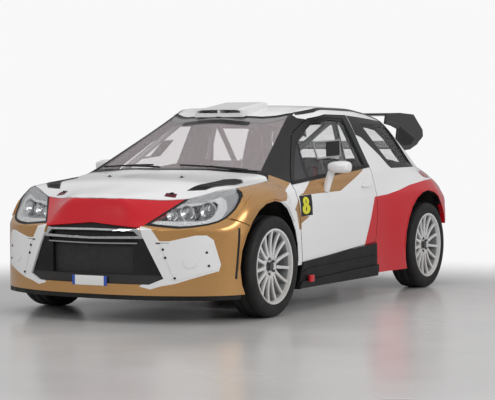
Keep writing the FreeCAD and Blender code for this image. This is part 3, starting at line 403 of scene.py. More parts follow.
def inside(outline, across, along):
    """Whether a point lies inside an outline."""
    crossings = 0
    for (ax, ay), (bx, by) in zip(outline, outline[1:] + outline[:1]):
        if (ay > along) != (by > along) and across < ax + (along - ay) * (bx - ax) / (by - ay):
            crossings += 1
    return crossings % 2 == 1


def enclosed(bm, view, outline):
    """The faces of the skin whose middles lie inside an outline."""
    across, along = VIEWS[view]
    points = [(a * MM, b * MM) for a, b in outline]
    middles = [(face, face.calc_center_median()) for face in bm.faces]
    return [face for face, middle in middles if inside(points, middle[across], middle[along])]


def everything(bm):
    return bm.verts[:] + bm.edges[:] + bm.faces[:]


def scored(bm, view, outline):
    """Cuts the skin along an outline and returns the faces inside it."""
    across, along = VIEWS[view]
    points = [(a * MM, b * MM) for a, b in outline]
    for start, end in zip(points, points[1:] + points[:1]):
        low = (min(start[0], end[0]) - 1e-5, min(start[1], end[1]) - 1e-5)
        high = (max(start[0], end[0]) + 1e-5, max(start[1], end[1]) + 1e-5)
        near = []
        for face in bm.faces:
            a = [vertex.co[across] for vertex in face.verts]
            b = [vertex.co[along] for vertex in face.verts]
            if max(a) > low[0] and min(a) < high[0] and max(b) > low[1] and min(b) < high[1]:
                near.append(face)
        edges = {edge for face in near for edge in face.edges}
        vertices = {vertex for face in near for vertex in face.verts}
        place, normal = Vector((0, 0, 0)), Vector((0, 0, 0))
        place[across], place[along] = start
        normal[across], normal[along] = start[1] - end[1], end[0] - start[0]
        bmesh.ops.bisect_plane(
            bm, geom=near + list(edges) + list(vertices), dist=1e-5,
            plane_co=place, plane_no=normal.normalized(),
        )
    return enclosed(bm, view, outline)


def skin_patch(box, outlines, holes=()):
    """The body form's skin inside a box and every outline, and outside every hole.

    A hole may end at a plane across the car, given as its y.
    """
    bm = bmesh.new()
    bm.from_mesh(body_form.data)
    for axis in range(3):
        for corner, sign in zip(box, (-1, 1)):
            normal = Vector((0, 0, 0))
            normal[axis] = sign
            bmesh.ops.bisect_plane(
                bm, geom=everything(bm), dist=1e-6, plane_co=Vector(corner) * MM,
                plane_no=normal, clear_outer=True,
            )
    for view, outline in outlines:
        kept = set(scored(bm, view, outline))
        bmesh.ops.delete(bm, geom=[f for f in bm.faces if f not in kept], context="FACES")
    for view, outline, *rear in holes:
        gone = scored(bm, view, outline)
        if rear:
            end = rear[0] * MM
            bmesh.ops.bisect_plane(
                bm, geom=everything(bm), dist=1e-6, plane_co=(0, end, 0), plane_no=(0, 1, 0),
            )
            gone = [face for face in enclosed(bm, view, outline)
                    if face.calc_center_median().y < end]
        bmesh.ops.delete(bm, geom=gone, context="FACES")
    loose = [vertex for vertex in bm.verts if not vertex.link_faces]
    bmesh.ops.delete(bm, geom=loose, context="VERTS")
    return bm


def filled(faces, index):
    """Gives faces one of their piece's paints."""
    for face in faces:
        face.material_index = index


def painted(bm, view, outline, index):
    """Gives the skin inside an outline one of the panel's paints."""
    filled(scored(bm, view, outline), index)


def to_right(bm):
    """Turns a left-hand piece into its right-hand twin."""
    bmesh.ops.scale(bm, vec=(-1, 1, 1), verts=bm.verts)
    bmesh.ops.reverse_faces(bm, faces=bm.faces)


def shaped(bm, size=(1, 1, 1), turn=0, axis="X", place=(0, 0, 0)):
    """Scales a part, turns it about an axis and moves it to its place."""
    bmesh.ops.scale(bm, vec=size, verts=bm.verts)
    bmesh.ops.rotate(bm, cent=(0, 0, 0), matrix=Matrix.Rotation(turn, 3, axis), verts=bm.verts)
    bmesh.ops.translate(bm, vec=place, verts=bm.verts)


def shaded(piece, angle=38):
    """Smooth shading that breaks at the piece's real edges."""
    piece.data.polygons.foreach_set("use_smooth", [True] * len(piece.data.polygons))
    piece.data.set_sharp_from_angle(angle=math.radians(angle))


def walled(bm, name, materials, wall, rim=0, back=0):
    """A panel: the patch given its wall. Its edges and back take the paints counted to."""
    piece = object_from(bm, name, materials)
    shell = piece.modifiers.new("wall", "SOLIDIFY")
    shell.thickness = wall * MM
    shell.offset = -1
    shell.material_offset_rim = rim
    shell.material_offset = back
    bake(piece)
    shaded(piece)
    return piece


def mounted(piece, body, node=None):
    """Sets a piece on its body, in the place of a plain node where one is named."""
    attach(piece, body)
    if node:
        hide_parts(node)
    return piece


def maths(tree, operation, first, second):
    """A maths node on two values, each a socket or a number."""
    return shader_node(tree, "Math", {0: first, 1: second}, operation=operation).outputs[0]


def bump(tree, height, strength, distance):
    """The normal of a surface raised by a height."""
    values = {"Height": height, "Strength": strength, "Distance": distance}
    return shader_node(tree, "Bump", values).outputs["Normal"]


road_film = bpy.data.node_groups.new("road_film", "ShaderNodeTree")
for label, kind, default in (
    ("Colour", "Color", (0.8, 0.8, 0.8, 1)), ("Film", "Float", 0.15), ("Gloss", "Float", 0.12),
    ("Flake", "Float", 0.0),
):
    socket = road_film.interface.new_socket(
        label, in_out="INPUT", socket_type="NodeSocket" + kind,
    )
    socket.default_value = default
for label, kind in (("Colour", "Color"), ("Roughness", "Float"), ("Height", "Float")):
    road_film.interface.new_socket(label, in_out="OUTPUT", socket_type="NodeSocket" + kind)
given = road_film.nodes.new("NodeGroupInput").outputs
place = own_place(road_film)
height = shader_node(road_film, "SeparateXYZ", {0: place}).outputs["Z"]
patches = noise(road_film, 3.0, 6.0, place)
film = maths(road_film, "MULTIPLY", ranged(road_film, height, DUST_TOP, DUST_FULL), patches)
film = maths(road_film, "MULTIPLY", film, given["Film"])
flakes = shader_node(road_film, "TexVoronoi", {"Scale": 420, "Vector": place}).outputs["Color"]
sparkle = maths(road_film, "MULTIPLY", flakes, given["Flake"])
bright = shader_node(road_film, "HueSaturation", {
    "Color": given["Colour"], "Value": maths(road_film, "ADD", sparkle, 0.94),
}).outputs["Color"]
gloss = maths(road_film, "ADD", spread(road_film, patches, 0.0, 0.05), given["Gloss"])
feed(road_film, road_film.nodes.new("NodeGroupOutput"), {
    "Colour": mixed_colour(road_film, film, bright, ROAD_DUST),
    "Roughness": maths(road_film, "ADD", gloss, film),
    "Height": noise(road_film, 260, 2.0, place),
})


def car_paint(
    name, colour, gloss=0.12, metallic=0.0, flake=0.06, film=0.08, coat=0.6, shine=0.5,
):
    """Sprayed paint under lacquer, with fine flake, orange peel and a film of road dust."""
    material, tree, surface = shader(name)
    values = {"Colour": colour, "Gloss": gloss, "Flake": flake, "Film": film}
    finish = shader_node(tree, "Group", values, node_tree=road_film).outputs
    feed(tree, surface, {
        "Base Color": finish["Colour"], "Roughness": finish["Roughness"],
        "Normal": bump(tree, finish["Height"], 0.03, 0.001), "Metallic": metallic,
        "Specular IOR Level": shine, "Coat Weight": coat, "Coat Roughness": 0.04,
    })
    return material


white_paint = car_paint("gloss_white_paint", GLOSS_WHITE, coat=0.35)
satin_black = car_paint(
    "satin_black_paint", (0.008, 0.008, 0.009), gloss=0.30, flake=0.0, coat=0.0, shine=0.28,
)

bm = skin_patch(UPPER_BOX, [("plan", grown(both_sides(BONNET), -HALF_GAP))])
bonnet = walled(bm, "bonnet_skin", [white_paint, satin_black], LID_WALL)
mounted(bonnet, "bonnet_lid", "bonnet")

# --- Front bumper -----------------------------------------------------------------
# The bumper is one moulded composite shell round the nose, screwed to the fenders. It is
# metallic gold, with a red band across its top and a white field round each lamp panel.

NOSE_WALL = 30
BUMPER = [
    (-1990, 100), (-1300, 100), (-1300, 602), (-1530, 602), (-1652, 645), (-1652, 1000),
    (-1990, 1000),
]
GRILLE_MOUTH = both_sides([(0, 622), (345, 594), (500, 282), (412, 244), (0, 244)])
HEADLAMP = [
    (380, 612), (534, 768), (534, 900), (780, 900), (794, 822), (812, 806), (828, 782),
    (835, 747), (829, 708), (814, 675), (800, 652), (773, 630), (730, 614), (650, 600),
    (578, 595),
]
ARCH_CENTRES = (-1209, 1252)
ARCH_HEIGHT = 342
ARCH_RADIUS = 400
NOSE_BAND = both_sides([(0, 1000), (700, 1000), (620, 860), (372, 606), (342, 592), (0, 606)])
LAMP_FIELD = [
    (352, 602), (425, 588), (476, 512), (533, 512), (682, 548), (738, 548), (770, 520),
    (803, 369), (794, 328), (568, 252), (485, 236), (420, 216), (350, 232), (440, 300),
]
BUMPER_BOX = ((-1000, -2000, 176), (1000, -1300, 1000))
METALLIC_GOLD = (0.52, 0.275, 0.092)
SIGNAL_RED = (0.56, 0.005, 0.014)


def arch(axle_y, extra=0):
    """The wheel arch's outline in the side view."""
    turns = [math.radians(15 * step) for step in range(24)]
    radius = ARCH_RADIUS + extra
    return [
        (axle_y + radius * math.cos(turn), ARCH_HEIGHT + radius * math.sin(turn))
        for turn in turns
    ]


def far_side(outline):
    """The outline of a right-hand part, from its left-hand twin."""
    return [(-x, z) for x, z in outline]


# By default a panel's cut edges, the rim of its wall, take the satin black: painted shade in the
# shut lines and round the wheel arches.
def panel(bm, name, paints, wall, body, node, side="left", base=0, rim=3):
    """An outer panel, painted field by field, given its wall and set on its body."""
    filled(bm.faces, base)
    for field in paints:
        painted(bm, *field)
    if side == "right":
        to_right(bm)
    return mounted(walled(bm, name, body_paints, wall, rim, BLACK), body, node)


gold_paint = car_paint(
    "metallic_gold_paint", METALLIC_GOLD, gloss=0.24, metallic=0.7, flake=0.22, coat=0.5,
)
red_paint = car_paint("signal_red_paint", SIGNAL_RED, gloss=0.2, coat=0.25, shine=0.3)
body_paints = [white_paint, gold_paint, red_paint, satin_black]
WHITE, GOLD, RED, BLACK = range(4)
LAMP_REAR = -1478
front_arch, rear_arch = (("side", arch(axle_y)) for axle_y in ARCH_CENTRES)
bonnet_hole = ("plan", grown(both_sides(BONNET), HALF_GAP))
front_lamp_hole = ("front", grown(HEADLAMP, HALF_GAP), LAMP_REAR)
far_lamp_hole = ("front", far_side(grown(HEADLAMP, HALF_GAP)), LAMP_REAR)
bm = skin_patch(
    BUMPER_BOX, [("side", grown(BUMPER, -HALF_GAP / 2))],
    [bonnet_hole, front_lamp_hole, far_lamp_hole, ("front", GRILLE_MOUTH), front_arch],
)
panel(
    bm, "front_bumper_skin",
    [("front", NOSE_BAND, RED), ("front", LAMP_FIELD, WHITE),
     ("front", far_side(LAMP_FIELD), WHITE)],
    NOSE_WALL, "chassis", "front_bumper", base=GOLD, rim=WHITE,
)

# --- Front fenders ----------------------------------------------------------------
# Each fender is a pressed panel bolted along its top and behind the wheel. It is gold,
# fading at a hard masked line to the white of the doors behind the wheel arch.

SIDES = ("left", "right")
SIDE_WALL = 45
FENDER = [
    (-1530, 602), (-1652, 645), (-1652, 1000), (-950, 1000), (-938, 914), (-812, 842),
    (-738, 312), (-740, 303), (-1000, 303), (-1209, 602),
]
LEFT_BOX = ((150, -2000, 150), (1000, 2000, 1500))
FENDER_GOLD = [
    (-1700, 1010), (-1700, 250), (-1126, 250), (-1126, 735), (-1034, 736), (-978, 767),
    (-933, 802), (-823, 841), (-800, 1010),
]
UPPER_STRIPE = [(-539, 862), (300, 925), (278, 907), (-142, 776), (-764, 763), (-700, 777)]
LOWER_STRIPE = [
    (-783, 742), (-757, 627), (-631, 622), (-758, 578), (-758, 540), (-791, 538),
    (-832, 657), (-858, 673),
]
PILLAR_BLACK = [
    (-975, 1000), (-960, 905), (-790, 836), (-100, 1272), (-180, 1282), (-200, 1400),
    (-400, 1400),
]
WINDSCREEN = both_sides([
    (0, -1062), (400, -1020), (676, -938), (479, -148), (300, -288), (0, -350),
])
SCUTTLE = both_sides([
    (0, -1088), (400, -1048), (655, -985), (720, -990), (762, -1040), (700, -925),
    (676, -938), (400, -1020), (0, -1062),
])
screen_hole, scuttle_hole = ("plan", WINDSCREEN), ("plan", SCUTTLE)
gold_stripes = [("side", LOWER_STRIPE, GOLD), ("side", UPPER_STRIPE, GOLD)]
for side in SIDES:
    bm = skin_patch(
        LEFT_BOX, [("side", grown(FENDER, -HALF_GAP / 2))],
        [bonnet_hole, front_lamp_hole, front_arch, scuttle_hole, screen_hole],
    )
    fields = [("side", FENDER_GOLD, GOLD), *gold_stripes, ("side", PILLAR_BLACK, BLACK)]
    panel(bm, f"front_fender_{side}_skin", fields, SIDE_WALL, "chassis",
          f"front_fender_{side}", side)

# --- Doors ------------------------------------------------------------------------
# Each door is a stripped steel shell with a light skin, hung on two hinges at its front
# edge. It is white with gold stripes, and black round its window and along the belt.

DOOR = [
    (-738, 312), (-812, 842), (-372, 1172), (-95, 1280), (90, 1310), (418, 1308),
    (425, 930), (425, 600), (398, 392),
]
DOOR_WINDOW = [(-768, 846), (-350, 1138), (-80, 1262), (100, 1288), (330, 1280), (354, 938)]
ROOF = both_sides([
    (0, -350), (300, -288), (479, -148), (545, 0), (556, 500), (540, 1190), (0, 1215),
])
DOOR_BLACK = [
    (-830, 838), (430, 936), (430, 1400), (0, 1400), (-372, 1200), (-840, 870),
]
NUMBER_PANEL = [(-770, 760), (-591, 766), (-589, 628), (-758, 623)]
REAR_RED = [
    (384, 718), (593, 730), (798, 756), (985, 788), (1286, 818), (2000, 836), (2000, 100),
    (87, 100),
]

door_outline = grown(DOOR, -HALF_GAP * 2)
for side in SIDES:
    bm = skin_patch(
        LEFT_BOX, [("side", door_outline)],
        [("plan", grown(ROOF, HALF_GAP * 2)), ("side", DOOR_WINDOW)],
    )
    fields = [
        ("side", UPPER_STRIPE, GOLD), ("side", LOWER_STRIPE, GOLD), ("side", REAR_RED, RED),
        ("side", DOOR_BLACK, BLACK), ("side", NUMBER_PANEL, BLACK),
    ]
    panel(bm, f"door_{side}_skin", fields, SIDE_WALL, f"{side}_door", f"door_{side}",
          side)

# --- Body sides -------------------------------------------------------------------
# The shell's steel side carries the sill, the pillars and the widened rear fender, all
# welded into one. It is white above and red round the rear wheel.

BODY_SIDE = [
    (-800, 150), (-740, 303), (-700, 312), (-770, 842), (-812, 842), (-938, 914),
    (-950, 1000), (-950, 1500), (1990, 1500), (1990, 625), (1500, 625), (1500, 150),
]
QUARTER_WINDOW = [(590, 1240), (820, 942), (1280, 944), (1142, 1241)]
TAILGATE = both_sides([
    (0, 1215), (520, 1195), (575, 1300), (632, 1450), (612, 1650), (590, 1990), (0, 1990),
])
TAILGATE_BOTTOM = 625
TAIL_LAMP = [(650, 700), (650, 850), (800, 850), (830, 700)]
QUARTER_BLACK = [
    (424, 1165), (500, 1146), (690, 1012), (765, 936), (800, 918), (1310, 920), (1160, 1264),
    (424, 1306),
]
TAIL_START = 1.6  # the tail lamps' openings lie behind this y, in metres

for side in SIDES:
    bm = skin_patch(
        LEFT_BOX, [("side", BODY_SIDE)],
        [
            screen_hole, ("plan", ROOF), ("plan", TAILGATE),
            scuttle_hole, ("side", DOOR), ("side", QUARTER_WINDOW), front_arch, rear_arch,
        ],
    )
    lamp_faces = [face for face in scored(bm, "front", TAIL_LAMP)
                  if face.calc_center_median().y > TAIL_START]
    bmesh.ops.delete(bm, geom=lamp_faces, context="FACES")
    fields = [
        ("side", REAR_RED, RED), ("side", PILLAR_BLACK, BLACK), ("side", QUARTER_BLACK, BLACK),
    ]
    panel(bm, f"body_side_{side}_skin", fields, SIDE_WALL, "chassis", f"body_side_{side}",
          side)

# --- Roof, tailgate and rear bumper -----------------------------------------------
# The roof is a steel skin with black drip channels along both sides. The tailgate is a
# light lid on two hinges at the roof's rear edge, and the rear bumper is a red moulding.

REAR_WINDOW = both_sides([
    (0, 1255), (468, 1240), (520, 1315), (572, 1450), (552, 1590), (0, 1640),
])
REAR_BUMPER = [(1500, 150), (1990, 150), (1990, 625), (1500, 625)]
REAR_CORNER = [(600, 100), (600, 474), (1100, 474), (1100, 100)]
DIFFUSER = [(-610, 100), (610, 100), (610, 410), (420, 440), (-420, 440), (-610, 410)]
TAILGATE_RED = [(-700, 836), (700, 836), (700, 500), (-700, 500)]
WINDOW_SURROUND = 24
ROOF_BOX = ((-1000, -400, 1150), (1000, 1300, 1500))
TAILGATE_BOX = ((-1000, 1100, TAILGATE_BOTTOM + 3), (1000, 2000, 1500))
REAR_BUMPER_BOX = ((-1000, 1500, 150), (1000, 2000, TAILGATE_BOTTOM))

bm = skin_patch(ROOF_BOX, [("plan", ROOF)])
panel(bm, "roof_skin", [], LID_WALL, "chassis", "roof_panel")

bm = skin_patch(TAILGATE_BOX, [("plan", grown(TAILGATE, -HALF_GAP))], [("plan", REAR_WINDOW)])
fields = [("plan", grown(REAR_WINDOW, WINDOW_SURROUND), BLACK), ("front", TAILGATE_RED, RED)]
panel(bm, "tailgate_skin", fields, LID_WALL, "tailgate_lid", "tailgate")

bm = skin_patch(
    REAR_BUMPER_BOX, [("side", REAR_BUMPER)],
    [rear_arch, ("front", REAR_CORNER), ("front", far_side(REAR_CORNER))],
)
panel(bm, "rear_bumper_skin", [("front", DIFFUSER, BLACK)], NOSE_WALL, "chassis",
      "rear_bumper", base=RED, rim=WHITE)

# --- Scuttle and glass ------------------------------------------------------------
# A black moulded scuttle closes the gap under the windscreen. The screen is laminated
# glass in a black border, and the side and rear panes are clear polycarbonate sheet.

SCUTTLE_BOX = ((-1000, -1300, 700), (1000, -800, 1500))
GLASS_DEPTH = 4
GLASS_WALL = 5


def clear_sheet(name, tint, roughness, clarity, film=0.02, hold=0.45):
    """Clear glass or plastic sheet, faintly tinted, with a trace of dust on it."""
    material, tree, surface = shader(name)
    dust = spread(tree, noise(tree, 5.0, 6.0), 0.0, film)
    feed(tree, surface, {
        "Base Color": mixed_colour(tree, dust, tint, (0.75, 0.74, 0.72)),
        "Roughness": spread(tree, noise(tree, 24.0, 4.0), roughness, roughness + film),
        "IOR": 1.45, "Transmission Weight": clarity, "Alpha": hold,
    })
    return material


def grained(name, dark, light, cloud, grain, gloss, raised, shine=0.5):
    """Moulded plastic, rubber or sealer, cloudy in its colour and grained on its surface."""
    material, tree, surface = shader(name)
    grain = noise(tree, *grain)
    cloud = spread(tree, noise(tree, *cloud), 0, 1)
    feed(tree, surface, {
        "Base Color": mixed_colour(tree, cloud, dark, light),
        "Roughness": spread(tree, grain, *gloss), "Normal": bump(tree, grain, *raised),
        "Specular IOR Level": shine,
    })
    return material


window_sheet = clear_sheet("window_sheet", (0.80, 0.84, 0.83), 0.01, 1.0, hold=0.14)
screen_sheet = clear_sheet("screen_sheet", (0.72, 0.63, 0.64), 0.01, 0.2, hold=0.27)
moulded_black = grained(
    "moulded_black_plastic", (0.006, 0.006, 0.006), (0.013, 0.013, 0.012), (8,), (900, 2.0),
    (0.42, 0.6), (0.12, 0.0006), 0.25,
)

bm = skin_patch(SCUTTLE_BOX, [scuttle_hole])
scuttle = walled(bm, "scuttle_moulding", [moulded_black], LID_WALL)
mounted(scuttle, "chassis", "scuttle")


def moved_in(bm, depth):
    """Moves a skin patch inwards, in millimetres, or outwards where that is negative."""
    bm.normal_update()
    for vertex in bm.verts:
        vertex.co -= vertex.normal * depth * MM


def vertices_of(geometry):
    return [item for item in geometry if isinstance(item, bmesh.types.BMVert)]


def faces_of(geometry):
    return [item for item in geometry if isinstance(item, bmesh.types.BMFace)]


def twinned(bm):
    """Adds the right-hand twin of a left-hand piece to the same mesh."""
    twin = bmesh.ops.duplicate(bm, geom=everything(bm))["geom"]
    bmesh.ops.scale(bm, vec=(-1, 1, 1), verts=vertices_of(twin))
    bmesh.ops.reverse_faces(bm, faces=faces_of(twin))


def pane(name, view, outline, sheet, band, body, node, side="middle"):
    """A window pane let into its opening, with a printed black border round its edge."""
    box = UPPER_BOX if side == "middle" else LEFT_BOX
    bm = skin_patch(box, [(view, grown(outline, -0.6))])
    filled(bm.faces, 1)
    painted(bm, view, grown(outline, -band), 0)
    moved_in(bm, GLASS_DEPTH)
    if side == "both":
        twinned(bm)
    if side == "right":
        to_right(bm)
    mounted(walled(bm, name, [sheet, satin_black], GLASS_WALL), body, node)


pane("windscreen_pane", "plan", WINDSCREEN, screen_sheet, 30, "chassis",
     "windscreen")
pane("rear_window_pane", "plan", REAR_WINDOW, window_sheet, 26, "tailgate_lid",
     "rear_window")
for side in SIDES:
    pane(f"door_window_{side}", "side", DOOR_WINDOW, window_sheet, 16, f"{side}_door",
         f"door_glass_{side}", side)
pane("quarter_windows_panes", "side", QUARTER_WINDOW, window_sheet, 14, "chassis",
     "quarter_windows", "both")

# --- Headlamps --------------------------------------------------------------------
# Each headlamp is a clear polycarbonate cover over a silver-grey bezel. Its sunken inner
# tray is dark and holds two chromed reflector bowls with their bulbs.

LENS_WALL = 3
BEZEL_DEPTH = 7
TRAY_DEPTH = 0.052
TRAY_AIM = Vector((-0.45, 0.86, -0.12))  # the way the tray is sunk
BEZEL_RETURN = (-0.02, 0.07, 0.0)  # the bezel's edge turns back this far
LAMP_TRAY = [
    (398, 632), (452, 700), (617, 726), (706, 748), (730, 733), (739, 690), (730, 652),
    (700, 636), (663, 631), (545, 629),
]
PALE_BEZEL = [
    (380, 604), (452, 722), (636, 742), (703, 765), (728, 776), (763, 757), (786, 707),
    (778, 643), (756, 620), (573, 598),
]
LAMP_BOX = ((150, -2000, 560), (1000, LAMP_REAR + 3, 900))
REFLECTORS = (
    ((0.680, -1.664, 0.694), 0.050), ((0.562, -1.722, 0.682), 0.042),
    ((0.476, -1.760, 0.666), 0.032),
)
LAMP_BAR = [(0.606, -1.742, 0.634), (0.640, -1.678, 0.722)]
BOWL = (  # a reflector's section as shares of its radius: out from its axis, and depth
    (0.16, 0.62), (0.35, 0.58), (0.6, 0.42), (0.8, 0.2), (0.94, 0.04), (1.0, 0.0), (1.12, 0.0),
)
BOWL_TURN = 0.32  # each bowl looks a little outwards
BULB, BULB_DEPTH = 0.2, 0.42


def metal(name, colour, roughness, metallic=1.0, scratch=0.08, scale=60):
    """Bare or plated metal with fine wear that shows in its gloss."""
    material, tree, surface = shader(name)
    wear = noise(tree, scale, 6.0)
    worn = tuple(value * 0.72 for value in colour)
    feed(tree, surface, {
        "Base Color": mixed_colour(tree, spread(tree, wear, 0, 1), worn, colour),
        "Roughness": spread(tree, wear, roughness, roughness + scratch),
        "Normal": bump(tree, noise(tree, scale * 8, 3.0), 0.08, 0.0008), "Metallic": metallic,
    })
    return material


def fitted(bm, name, body, materials, angle=38, node=None):
    """A finished piece, set on its body."""
    piece = object_from(bm, name, materials)
    shaded(piece, angle)
    return mounted(piece, body, node)


def opened(piece):
    """Takes a piece out of the scene and gives its mesh back to be worked on."""
    bm = bmesh.new()
    bm.from_mesh(piece.data)
    bpy.data.objects.remove(piece)
    return bm


def paired(piece, name, body, materials, node=None):
    """A left-hand piece and its right-hand twin as one."""
    bm = opened(piece)
    twinned(bm)
    return fitted(bm, name, body, materials, node=node)


def added(whole, part, index=0, placing=None):
    """Adds a part to a piece, in one of the piece's finishes."""
    filled(part.faces, index)
    if placing is not None:
        bmesh.ops.transform(part, matrix=placing, verts=part.verts)
    mesh = bpy.data.meshes.new("part")
    part.to_mesh(mesh)
    part.free()
    whole.from_mesh(mesh)
    bpy.data.meshes.remove(mesh)


def spun(profile, axis, steps, closed=False):
    """A part turned about an axis from its profile."""
    bm = bmesh.new()
    points = [bm.verts.new(point) for point in profile]
    edges = [bm.edges.new(pair) for pair in zip(points, points[1:])]
    if closed:
        edges.append(bm.edges.new((points[-1], points[0])))
    bmesh.ops.spin(
        bm, geom=points + edges, cent=(0, 0, 0), axis=axis, angle=math.tau, steps=steps,
        use_merge=True,
    )
    return bm


chrome = metal("chrome_plate", (0.78, 0.79, 0.80), 0.05, scratch=0.05)
tray_chrome = metal("tray_smoked_chrome", (0.20, 0.20, 0.21), 0.18, scale=300)
bezel_grey = metal("bezel_silver_paint", (0.40, 0.40, 0.41), 0.28, metallic=0.35, scale=400)
bezel_pale = metal("bezel_pale_silver", (0.74, 0.75, 0.75), 0.25, metallic=0.25, scale=400)
lamp_cover = clear_sheet(
    "lamp_cover_plastic", (0.90, 0.92, 0.92), 0.01, 1.0, film=0.01, hold=0.22,
)

bm = skin_patch(LAMP_BOX, [("front", grown(HEADLAMP, -1.0))], [bonnet_hole])
lens = walled(bm, "headlamp_cover_left", [lamp_cover], LENS_WALL)
paired(lens, "headlamp_covers", "chassis", [lamp_cover], "headlamps")

bm = skin_patch(LAMP_BOX, [("front", grown(HEADLAMP, -1.5))], [bonnet_hole])
moved_in(bm, BEZEL_DEPTH)
painted(bm, "front", PALE_BEZEL, 2)
tray = scored(bm, "front", LAMP_TRAY)
sunk = bmesh.ops.extrude_face_region(bm, geom=tray)["geom"]
bmesh.ops.delete(bm, geom=tray, context="FACES")
filled(faces_of(sunk), 1)
bmesh.ops.translate(bm, vec=TRAY_AIM * TRAY_DEPTH, verts=vertices_of(sunk))
rims = [edge for edge in bm.edges if edge.is_boundary]
turned_back = bmesh.ops.extrude_edge_only(bm, edges=rims)["geom"]
bmesh.ops.translate(bm, vec=BEZEL_RETURN, verts=vertices_of(turned_back))
twinned(bm)
fitted(bm, "headlamp_bezels", "chassis", [bezel_grey, tray_chrome, bezel_pale])

bm = bmesh.new()
for centre, radius in REFLECTORS:
    ring = spun([(radius * out, radius * deep, 0) for out, deep in BOWL], (0, 1, 0), 32)
    bmesh.ops.create_uvsphere(
        ring, u_segments=16, v_segments=10, radius=radius * BULB,
        matrix=Matrix.Translation((0, radius * BULB_DEPTH, 0)),
    )
    shaped(ring, turn=BOWL_TURN, axis="Z", place=centre)
    outward(ring)
    added(bm, ring)
twinned(bm)
fitted(bm, "headlamp_reflectors", "chassis", [chrome])

# --- Grille and number plate ------------------------------------------------------
# A black moulded insert fills the mouth of the nose, with a bright frame of two bars
# across its top and a wire screen over the radiator. A blank plate is riveted below.

INSERT_SETBACK = 0.015
BAR_SETBACK = 0.0092
INSERT_WALL = 14
RADIATOR_MOUTH = [(302, 490), (300, 300), (-300, 300), (-302, 490)]
UPPER_SLOT = [(296, 568), (0, 570), (-296, 568), (-322, 540), (0, 534), (322, 540)]
LOWER_SLOT = [(330, 522), (0, 514), (-330, 522), (-338, 504), (0, 498), (338, 504)]
BAR_FRAME = [
    (352, 590), (300, 582), (0, 585), (-300, 582), (-352, 590), (-392, 526), (-330, 525),
    (0, 519), (330, 525), (392, 526),
]
BAR_OPENING = [
    (310, 570), (0, 573), (-310, 570), (-340, 541), (0, 532), (340, 541),
]
THIN_BAR = [(332, 500), (0, 496), (-332, 500), (-332, 493), (0, 489), (332, 493)]
LOWER_LIP = [(510, 300), (-510, 300), (-500, 244), (500, 244)]
NOSE_BOX = ((-1000, -2000, 176), (1000, -1500, 640))
SCREEN_SIZE, SCREEN_PLACE = (0.66, 0.30, 1), (0, -1.915, 0.432)
SCREEN_BOW, SCREEN_FORWARD = 0.10, 0.004
PLATE_HALF, PLATE_END = 0.130, 0.108
PLATE_BOTTOM, PLATE_TOP = 0.229, 0.290
PLATE_Y, PLATE_WALL = -1.9735, 0.004

screen_wire, tree, surface = shader("woven_wire_screen")
upright = shader_node(tree, "Mapping", {
    "Vector": own_place(tree), "Rotation": (math.radians(90), 0, 0),
})
weave = shader_node(tree, "TexBrick", {
    "Scale": 42, "Mortar Size": 0.045, "Color1": (0.004, 0.004, 0.004),
    "Color2": (0.007, 0.007, 0.007), "Mortar": (0.028, 0.028, 0.029),
    "Vector": upright.outputs["Vector"],
}).outputs
feed(tree, surface, {
    "Base Color": weave["Color"], "Roughness": spread(tree, noise(tree, 30), 0.45, 0.7),
    "Normal": bump(tree, weave["Fac"], 0.6, 0.002),
})
satin_grey = car_paint(
    "satin_grey_moulding", (0.026, 0.026, 0.027), gloss=0.45, flake=0, coat=0.0, shine=0.25,
)
bm = skin_patch(
    NOSE_BOX, [("front", grown(GRILLE_MOUTH, -0.5))],
    [("front", RADIATOR_MOUTH), ("front", UPPER_SLOT), ("front", LOWER_SLOT)],
)
painted(bm, "front", LOWER_LIP, 1)
shaped(bm, place=(0, INSERT_SETBACK, 0))
insert = walled(bm, "grille_insert", [moulded_black, satin_grey], INSERT_WALL)
mounted(insert, "chassis", "grille")

for name, outline, holes, skin, wall in (
    ("grille_bright_bars", BAR_FRAME, [("front", BAR_OPENING)], chrome, 12),
    ("grille_thin_bar", THIN_BAR, [], bezel_grey, 8),
):
    bm = skin_patch(NOSE_BOX, [("front", outline)], holes)
    shaped(bm, place=(0, BAR_SETBACK, 0))
    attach(walled(bm, name, [skin], wall), "chassis")

bm = bmesh.new()
bmesh.ops.create_grid(bm, x_segments=30, y_segments=12, size=0.5)
shaped(bm, SCREEN_SIZE, math.pi / 2, "X", SCREEN_PLACE)
for vertex in bm.verts:
    vertex.co.y += SCREEN_BOW * vertex.co.x ** 2 - SCREEN_FORWARD
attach(walled(bm, "radiator_wire_screen", [screen_wire], 4), "chassis")


def block(low, high, bevel):
    """A solid between two corners, in metres, with rounded edges."""
    bm = bmesh.new()
    low, high = Vector(low), Vector(high)
    place = Matrix.Translation((low + high) / 2) @ Matrix.Diagonal((*(high - low), 1))
    bmesh.ops.create_cube(bm, size=1, matrix=place)
    bmesh.ops.bevel(
        bm, geom=bm.edges[:], offset=bevel, affect="EDGES", segments=3, profile=0.5,
        material=-1, offset_type="OFFSET",
    )
    return bm


plate_white = car_paint("plate_white_enamel", (0.80, 0.80, 0.79), gloss=0.25, flake=0, coat=0.2)
plate_blue = car_paint("plate_blue_enamel", (0.015, 0.07, 0.42), gloss=0.25, flake=0, coat=0.2)
bm = block(
    (-PLATE_HALF, PLATE_Y, PLATE_BOTTOM), (PLATE_HALF, PLATE_Y + PLATE_WALL, PLATE_TOP), 0.0015,
)
for x in (-PLATE_END, PLATE_END):
    bmesh.ops.bisect_plane(
        bm, geom=everything(bm), dist=1e-6, plane_co=(x, 0, 0), plane_no=(1, 0, 0),
    )
for face in bm.faces:
    face.material_index = int(abs(face.calc_center_median().x) > PLATE_END)
fitted(bm, "blank_number_plate", "chassis", [plate_white, plate_blue])
